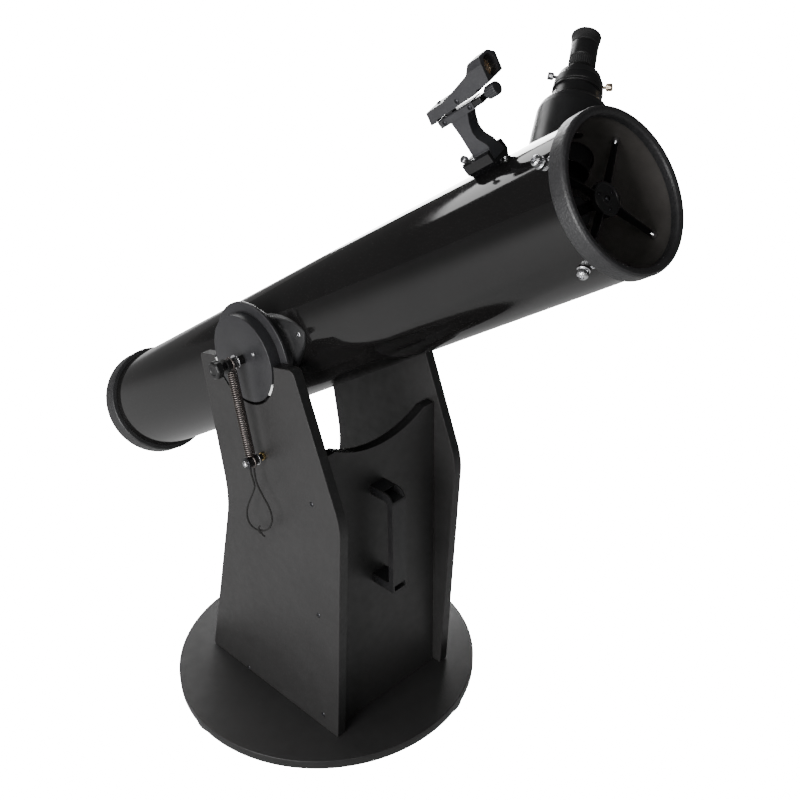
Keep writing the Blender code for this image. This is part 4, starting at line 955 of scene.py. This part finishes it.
# ---------------------------------------------------------------- focuser
def focuser():
    """Bell-shaped body, drawtube, collar with its two thumbscrews, pinion shaft and knobs."""
    bore = DRAWTUBE_R + GAP
    bell = soft([(bore, 0.065), (BELL_R + 0.001, 0.065), (BELL_R, 0.107), (0.0438, 0.1415), (0.042, 0.149),
                 (0.0385, 0.1545), (0.033, 0.159), (0.0308, 0.16), (0.0308, BELL_TOP), (bore, BELL_TOP)],
                [0.0, 0.0, 0.03, 0.012, 0.006, 0.006, 0.004, 0.0006, 0.0006, 0.0], 8)
    body = piece("focuser_bell", turned(bell, 160), SATIN, "tube_assembly", FOCUS, nodes=("focuser_body",),
                 sharp=40.0)
    pinion = FOCUS @ move(0.0, SHAFT_OFFSET, SHAFT_LEVEL) @ ALONG_X
    carve(body, cylinder(SHAFT_R + 0.001, -0.08, 0.08, 48), pinion)
    carve(body, cylinder(TUBE_R + GAP, 0.3, 0.7, 192), TUBE)
    for number, (x, y) in enumerate(((0.0395, -0.0245), (-0.0395, -0.0245)), 1):
        level = math.sqrt(TUBE_R ** 2 - y ** 2)
        foot = soft([(0.0, -0.002), (0.0072, -0.002), (0.007, 0.0042), (0.0, 0.0046)], 0.0012)
        lean = FOCUS @ move(x, y, level) @ turn("X", math.degrees(math.asin(-y / TUBE_R)))
        piece(f"focuser_lug_{number}", turned(foot, 64), SATIN, "tube_assembly", lean)
        pan_screw(f"focuser_screw_{number}", lean @ move(0, 0, 0.004), 0.0034, "tube_assembly", CHROME,
                  height=0.0024)
    inner = DRAWTUBE_R - 0.0018
    tube = soft([(inner, DRAWTUBE_LOW), (DRAWTUBE_R, DRAWTUBE_LOW), (DRAWTUBE_R, COLLAR_LOW - GAP),
                 (inner, COLLAR_LOW - GAP)], 0.0003)
    piece("drawtube_barrel", turned(tube, 160), SATIN, "drawtube", FOCUS, nodes=("focuser_drawtube",), sharp=45.0)
    barrel = 0.0158 + GAP
    foot = COLLAR_LOW - 0.0065
    collar = soft([(barrel, foot), (inner - GAP, foot), (inner - GAP, COLLAR_LOW), (0.0303, COLLAR_LOW),
                   (0.0303, COLLAR_LOW + 0.0026), (0.0297, COLLAR_LOW + 0.003), (0.0297, COLLAR_LOW + 0.0038),
                   (0.0302, COLLAR_LOW + 0.0044), (0.0293, COLLAR_STEP - 0.0008), (0.0284, COLLAR_STEP + 0.0008),
                   (0.0252, COLLAR_TOP - 0.0012), (0.0236, COLLAR_TOP), (barrel, COLLAR_TOP)], 0.0005)
    ring = piece("collar_ring", turned(collar, 160), SATIN, "drawtube", FOCUS, nodes=("eyepiece_collar",), sharp=38.0)
    for name, body_name, angle, wall, level, finish in (
            ("upper", "upper_collar_screw", 235.0, 0.0275, 0.1975, CHROME),
            ("lower", "lower_collar_screw", 35.0, 0.0298, 0.1868, BRASSY)):
        at = FOCUS @ move(0, 0, level) @ turn("Z", angle) @ ALONG_X
        carve(ring, cylinder(0.0022, 0.01, 0.05, 32), at)
        thumb = soft([(0.0, barrel + GAP), (0.0019, barrel + GAP), (0.0019, wall + 0.0028), (0.0032, wall + 0.0034),
                      (0.0046, wall + 0.004), (0.0046, wall + 0.0104), (0.004, wall + 0.011),
                      (0.0, wall + 0.011)], 0.0004)
        piece(f"thumbscrew_{name}", turned(thumb, 120, ribbed(24, 0.0003, wall + 0.004, wall + 0.01)), finish,
              body_name, at, nodes=(f"collar_screw_{name}",), sharp=45.0)

    shaft = soft([(0.0, -0.0495), (SHAFT_R, -0.0495), (SHAFT_R, 0.0495), (0.0, 0.0495)], 0.0004)
    piece("pinion_shaft", turned(shaft, 48), CHROME, "focus_drive", pinion, nodes=("focus_shaft",))
    for hand, side in (("front", 1.0), ("rear", -1.0)):
        at = pinion if side > 0 else pinion @ turn("X", 180.0)
        wheel = soft([(SHAFT_R + GAP, KNOB_X), (0.009, KNOB_X), (0.0124, KNOB_X + 0.002), (0.0125, KNOB_X + 0.011),
                      (0.0114, KNOB_X + 0.012), (SHAFT_R + GAP, KNOB_X + 0.012)], 0.0006)
        piece(f"focus_wheel_{hand}", turned(wheel, 192, ribbed(32, 0.0005, KNOB_X + 0.002, KNOB_X + 0.0112)), GRIP,
              "focus_drive", at, nodes=(f"focus_knob_{hand}",), sharp=45.0)


focuser()


# ---------------------------------------------------------------- eyepiece
def eyepiece():
    """Barrel, ribbed grip, plain upper band and flared rubber cup."""
    top = EYECUP_LOW - GAP
    low = COLLAR_TOP + GAP
    barrel = soft([(0.0142, COLLAR_TOP - 0.024), (0.0158, COLLAR_TOP - 0.024), (0.0158, low), (0.0142, low)],
                  0.0004)
    piece("eyepiece_barrel", turned(barrel, 96), CHROME, "eyepiece_unit", FOCUS)
    body = [(0.0, COLLAR_TOP - 0.018), (0.014, COLLAR_TOP - 0.018), (0.014, low), (EYEPIECE_R, low),
            (EYEPIECE_R, low + 0.003), (EYEPIECE_R - 0.0008, low + 0.0034), (EYEPIECE_R - 0.0008, low + 0.0042),
            (EYEPIECE_R, low + 0.0046), (EYEPIECE_R, low + 0.009), (EYEPIECE_R - 0.0009, low + 0.0094),
            (EYEPIECE_R - 0.0009, low + 0.024), (EYEPIECE_R, low + 0.0244), (EYEPIECE_R, top), (0.013, top),
            (0.013, EYECUP_LOW + 0.003), (0.0, EYECUP_LOW + 0.0012)]
    piece("eyepiece_body", turned(soft(body, 0.0004), 160), SATIN, "eyepiece_unit", FOCUS, nodes=("eyepiece",),
          sharp=38.0)
    grip = soft([(0.015, low + 0.0096), (EYEPIECE_R, low + 0.01), (EYEPIECE_R, low + 0.0234),
                 (0.015, low + 0.0238)], 0.0004)
    rubber = turned(grip, 240, ribbed(40, 0.0006, low + 0.01, low + 0.0236))
    piece("eyepiece_grip", rubber, GRIP, "eyepiece_unit", FOCUS, sharp=50.0)
    lens = soft([(0.0, EYECUP_LOW + 0.0026), (0.0105, EYECUP_LOW + 0.002), (0.0105, EYECUP_LOW + 0.0008),
                 (0.0, EYECUP_LOW + 0.0006)], 0.0002)
    piece("eye_lens", turned(lens, 96), GLASS, "eyepiece_unit", FOCUS)
    cup = soft([(0.0133, EYECUP_LOW), (EYEPIECE_R + 0.0004, EYECUP_LOW), (EYEPIECE_R + 0.0002, EYECUP_LOW + 0.0034),
                (0.017, EYECUP_LOW + 0.007), (0.0182, EYECUP_TOP - 0.003), (0.0184, EYECUP_TOP - 0.0004),
                (0.0172, EYECUP_TOP), (0.015, EYECUP_TOP - 0.004), (0.0133, EYECUP_LOW + 0.005)],
               [0.0003, 0.0006, 0.002, 0.006, 0.003, 0.0008, 0.0008, 0.002, 0.001], 5)
    piece("cup_rubber_flare", turned(cup, 160), GRIP, "eyepiece_unit", FOCUS, nodes=("eyecup",),
          sharp=60.0)


eyepiece()


# ---------------------------------------------------------------- finder
def finder():
    """Shoe on the tube, sliding bracket with its rail, and the thumbscrew that locks it."""
    rear, front = SHOE_S
    shoe = piece("shoe_moulding", block((rear, -SHOE_HALF, 0.08), (front, SHOE_HALF, SHOE_TOP)), GLOSSY,
                 "tube_assembly", FINDER, nodes=("finder_shoe",))
    groove = [(-0.0125, 0.0985), (0.0125, 0.0985), (0.0098, 0.12), (-0.0098, 0.12)]
    carve(shoe, prism(groove, rear - 0.01, front + 0.01), FINDER @ BOARD_PLANE)
    for side in (-1.0, 1.0):
        slope = [(side * 0.0125, SHOE_TOP + 0.002), (side * 0.021, SHOE_TOP + 0.002),
                 (side * 0.021, SHOE_TOP - 0.0075)]
        carve(shoe, prism(slope, rear - 0.01, front + 0.01), FINDER @ BOARD_PLANE)
        under = [(side * 0.0172, 0.0987), (side * 0.006, 0.086), (side * 0.0172, 0.086)]
        carve(shoe, prism(under, rear - 0.01, front + 0.01), FINDER @ BOARD_PLANE)
    carve(shoe, cylinder(TUBE_R + GAP, 0.3, 0.7, 192), TUBE)
    spot = FINDER @ move(rear + 0.014, -0.0128, 0.107) @ turn("X", 40.0)
    carve(shoe, cylinder(0.0022, -0.004, 0.03, 32), spot)
    bevelled(shoe, 0.0009)
    thumb = soft([(0.0, 0.0), (0.0019, 0.0), (0.0019, 0.0088), (0.0036, 0.0094), (0.0045, 0.0102), (0.0045, 0.0152),
                  (0.0038, 0.0162), (0.0, 0.0162)], 0.0004)
    piece("shoe_thumbscrew", turned(thumb, 120, ribbed(24, 0.0003, 0.01, 0.015)), CHROME, "shoe_screw", spot,
          nodes=("finder_shoe_screw",), sharp=45.0)
    for number, x in enumerate((rear - 0.003, front + 0.003), 1):
        tab = soft([(0.0, -0.003), (0.006, -0.003), (0.0058, 0.0018), (0.0, 0.0022)], 0.0008)
        at = FINDER @ move(x, 0.0, TUBE_R)
        piece(f"shoe_tab_{number}", turned(tab, 48), GLOSSY, "tube_assembly", at)
        pan_screw(f"shoe_tab_screw_{number}", at @ move(0, 0, 0.0016), 0.0026, "tube_assembly", CHROME, height=0.0016)

    foot = [(-0.012, 0.0989), (0.012, 0.0989), (0.01, SHOE_TOP + 0.001), (-0.01, SHOE_TOP + 0.001)]
    bracket = piece("bracket_arm", prism(soft(foot, 0.0006), rear + 0.004, front), FINDER_BLACK, "finder_mount",
                    FINDER @ BOARD_PLANE, nodes=("finder_bracket",))
    waist = soft([(0.483, SHOE_TOP), (0.511, SHOE_TOP), (0.51, 0.117), (0.504, 0.127), (0.5035, 0.136),
                  (0.5075, 0.146), (0.515, RAIL_LOW + 0.001), (0.486, RAIL_LOW + 0.001), (0.486, 0.14)],
                 [0.0, 0.001, 0.006, 0.008, 0.01, 0.012, 0.0, 0.0, 0.02], 8)
    carve(bracket, prism(waist, -0.0085, 0.0085), FINDER @ SIDE_PLANE, "UNION")
    rail = [(-0.0105, RAIL_LOW), (0.0105, RAIL_LOW), (0.0105, RAIL_TOP - 0.0012), (0.0095, RAIL_TOP),
            (-0.0095, RAIL_TOP), (-0.0105, RAIL_TOP - 0.0012)]
    carve(bracket, prism(rail, RAIL_REAR, RAIL_FRONT - 0.013), FINDER @ BOARD_PLANE, "UNION")
    carve(bracket, block((SIGHT_PIVOT[0] - 0.006, -0.0045, RAIL_LOW + 0.002), (SIGHT_PIVOT[0] + 0.006, 0.0045, 0.2)),
          FINDER)
    bevelled(bracket, 0.0006, 2)
    end = prism(soft([(-0.01, RAIL_LOW + 0.0006), (0.01, RAIL_LOW + 0.0006), (0.01, RAIL_TOP - 0.0006),
                      (-0.01, RAIL_TOP - 0.0006)], 0.0012), RAIL_FRONT - 0.0132, RAIL_FRONT)
    nose = piece("rail_nose", end, GLOSSY, "finder_mount", FINDER @ BOARD_PLANE, edges=0.0006,
                 segments=2)
    carve(nose, cylinder(0.0024, -0.009, 0.03, 32), FINDER @ move(RAIL_FRONT, 0.0, AIM_KNOB_LEVEL) @ ALONG_X)
    for number, station in enumerate((RAIL_REAR + 0.0085, RAIL_FRONT - 0.019), 1):
        for side, degrees in ((-1.0, 90.0), (1.0, -90.0)):
            at = FINDER @ move(station, side * 0.0103, (RAIL_LOW + RAIL_TOP) / 2.0 - 0.0002) @ turn("X", degrees)
            name = f"rail_screw_{number}_{'near' if side < 0 else 'far'}"
            pan_screw(name, at, 0.0029, "finder_mount", BLACK_STEEL, height=0.0013)
    knob = soft([(0.0, -0.008), (0.002, -0.008), (0.002, 0.0036), (0.005, 0.004), (0.0076, 0.0056),
                 (0.0076, 0.0188), (0.0066, 0.02), (0.0, 0.02)], 0.0006)
    piece("aim_wheel", turned(knob, 160, ribbed(20, 0.0006, 0.005, 0.019)), FINDER_BLACK, "aim_knob",
          FINDER @ move(RAIL_FRONT, 0.0, AIM_KNOB_LEVEL) @ ALONG_X, nodes=("finder_aim_knob",), sharp=45.0)


def sight():
    """The reflex sight's body with its hooded window."""
    profile = [(-0.0245, 0.0045), (-0.0145, 0.0044), (-0.011, 0.007), (0.0544, 0.0078), (0.06, 0.0116),
               (0.077, 0.0112), (0.08, 0.012), (0.085, 0.031), (0.083, 0.0385), (0.064, 0.0385),
               (0.06, 0.0305), (0.0112, 0.0198), (-0.02, 0.0195)]
    radii = [0.001, 0.0, 0.0, 0.003, 0.002, 0.002, 0.001, 0.004, 0.003, 0.003, 0.004, 0.01, 0.001]
    body = piece("sight_body", prism(soft(profile, radii, 8), -0.015, 0.015), FINDER_BLACK, "reflex_sight",
                 SIGHT @ SIDE_PLANE, nodes=("finder_body",))
    for low, high in ((0.0135, 0.03), (-0.03, -0.0135)):
        carve(body, block((-0.05, low, -0.01), (0.055, high, 0.06)), SIGHT)
    for side in (-1.0, 1.0):
        crown = [(side * 0.008, 0.0392), (side * 0.0165, 0.0392), (side * 0.0165, 0.0298)]
        carve(body, prism(crown, 0.05, 0.1), SIGHT @ BOARD_PLANE)
    centre = SIGHT @ move(0.0, 0.0, WINDOW_LEVEL)
    carve(body, cylinder(WINDOW_R + GAP, 0.005, 0.12, 96), centre @ ALONG_X)
    carve(body, block((-0.0045, -0.0042, -0.002), (0.0045, 0.0042, 0.01)), SIGHT, "UNION")
    bevelled(body, 0.0008)
    tilt = SIGHT @ move(0.07, 0.0, WINDOW_LEVEL) @ turn("Y", 8.0) @ ALONG_X
    disc = soft([(0.0, -0.001), (WINDOW_R - 0.0003, -0.001), (WINDOW_R - 0.0003, 0.001), (0.0, 0.001)], 0.0002)
    piece("sight_window", turned(disc, 96), GLASS, "reflex_sight", tilt, nodes=("finder_window",))
    ring = soft([(WINDOW_R - 0.0016, 0.0012), (WINDOW_R - 0.0001, 0.0012), (WINDOW_R - 0.0001, 0.0026),
                 (WINDOW_R - 0.0012, 0.0026)], 0.0003)
    piece("window_ring", turned(ring, 96), BRASSY, "reflex_sight", tilt)
    for side, degrees in ((-1.0, 90.0), (1.0, -90.0)):
        at = SIGHT @ move(0.027, side * 0.0133, 0.0125) @ turn("X", degrees)
        pan_screw(f"sight_screw_{'near' if side < 0 else 'far'}", at, 0.003, "reflex_sight", BLACK_STEEL,
                  height=0.0013)
    stud = soft([(0.0, 0.0), (0.0026, 0.0), (0.0026, 0.0024), (0.0, 0.0028)], 0.0005)
    piece("sight_stud", turned(stud, 48), FINDER_BLACK, "reflex_sight", SIGHT @ move(-0.0075, 0.0, 0.019))


finder()
sight()


# ---------------------------------------------------------------- finishes of the solids that stay as they are
def dress(node, surface):
    """Give a CAD node a finish."""
    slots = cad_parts[node].data.materials
    slots.clear()
    slots.append(surface)


for surface, names in {
        PTFE: ("altitude_pad_left_front", "altitude_pad_left_rear", "altitude_pad_right_front",
               "altitude_pad_right_rear"),
        CHROME: ("azimuth_pivot_bolt", "azimuth_lock_nut"),
        MIRROR: ("primary_mirror",),
        PLASTIC: ("mirror_support_plate", "mirror_cell")}.items():
    for name in names:
        dress(name, surface)


# ---------------------------------------------------------------- studio
def camera_only(nodes, links, seen, other):
    """A number that is one value for the eye and another for every other ray."""
    path = nodes.new("ShaderNodeLightPath")
    mix = nodes.new("ShaderNodeMix")
    mix.inputs[2].default_value = other
    mix.inputs[3].default_value = seen
    links.new(path.outputs["Is Camera Ray"], mix.inputs["Factor"])
    return mix.outputs[0]


def floor_finish():
    """Pale seamless floor, kept near white to the eye."""
    made = finish("studio_floor", None, (noise(0.6, 2.0), 0.5, 0.53), (noise(2.0, 2.0), 0.8, 0.86),
                  colour_stops=(0.3, 0.8), IOR=1.3, Emission_Color=(1.0, 1.0, 1.0, 1.0))
    tree = made.node_tree
    glow = camera_only(tree.nodes, tree.links, FLOOR_GLOW, FLOOR_LIGHT)
    tree.links.new(glow, tree.nodes["Principled BSDF"].inputs["Emission Strength"])
    return made


def studio():
    """A pale floor, a white surround and six soft lights."""
    shape = bmesh.new()
    bmesh.ops.create_grid(shape, x_segments=2, y_segments=2, size=FLOOR_SIZE)
    mesh = bpy.data.meshes.new("floor")
    shape.to_mesh(mesh)
    shape.free()
    mesh.materials.append(floor_finish())
    floor = bpy.data.objects.new("floor", mesh)
    bpy.context.collection.objects.link(floor)
    floor.location = (0.0, 0.0, -FLOOR_DROP)

    world = bpy.data.worlds.new("surround")
    bpy.context.scene.world = world
    world.use_nodes = True
    nodes, links = world.node_tree.nodes, world.node_tree.links
    back = nodes["Background"]
    back.inputs["Color"].default_value = (1.0, 1.0, 1.0, 1.0)
    links.new(camera_only(nodes, links, SKY_SEEN, SKY_LIGHT), back.inputs["Strength"])

    for name, spot, aim, size, power in LIGHTS:
        lamp = bpy.data.lights.new(name, "AREA")
        lamp.shape = "RECTANGLE"
        lamp.size, lamp.size_y = size
        lamp.energy = power
        lit = bpy.data.objects.new(name, lamp)
        bpy.context.collection.objects.link(lit)
        lit.location = spot
        lit.rotation_euler = (Vector(aim) - Vector(spot)).to_track_quat("-Z", "Y").to_euler()


SKY_SEEN = 20.0
SKY_LIGHT = 0.085
FLOOR_GLOW = 20.0
FLOOR_LIGHT = 0.12
FLOOR_SIZE = 14.0
FLOOR_DROP = 0.0004
LIGHTS = (
    ("left", (-2.7, -0.6, 0.95), (0.0, 0.0, 0.4), (1.4, 1.6), 110.0),
    ("card", (-2.3, -2.5, 2.9), (0.0, -0.2, 0.9), (1.4, 2.6), 13.0),
    ("mouth", (-1.9, -2.4, 2.1), (0.0, -0.5, 1.0), (0.5, 0.5), 9.0),
    ("top", (-1.6, 0.4, 2.6), (0.0, 0.0, 0.9), (0.6, 2.4), 12.0),
    ("rim", (0.6, 2.6, 2.2), (0.0, 0.0, 0.8), (2.0, 1.2), 30.0),
    ("back", (2.6, 2.4, 0.9), (0.0, 0.0, 0.6), (1.6, 1.6), 120.0),
)
studio()

bpy.context.view_layer.update()
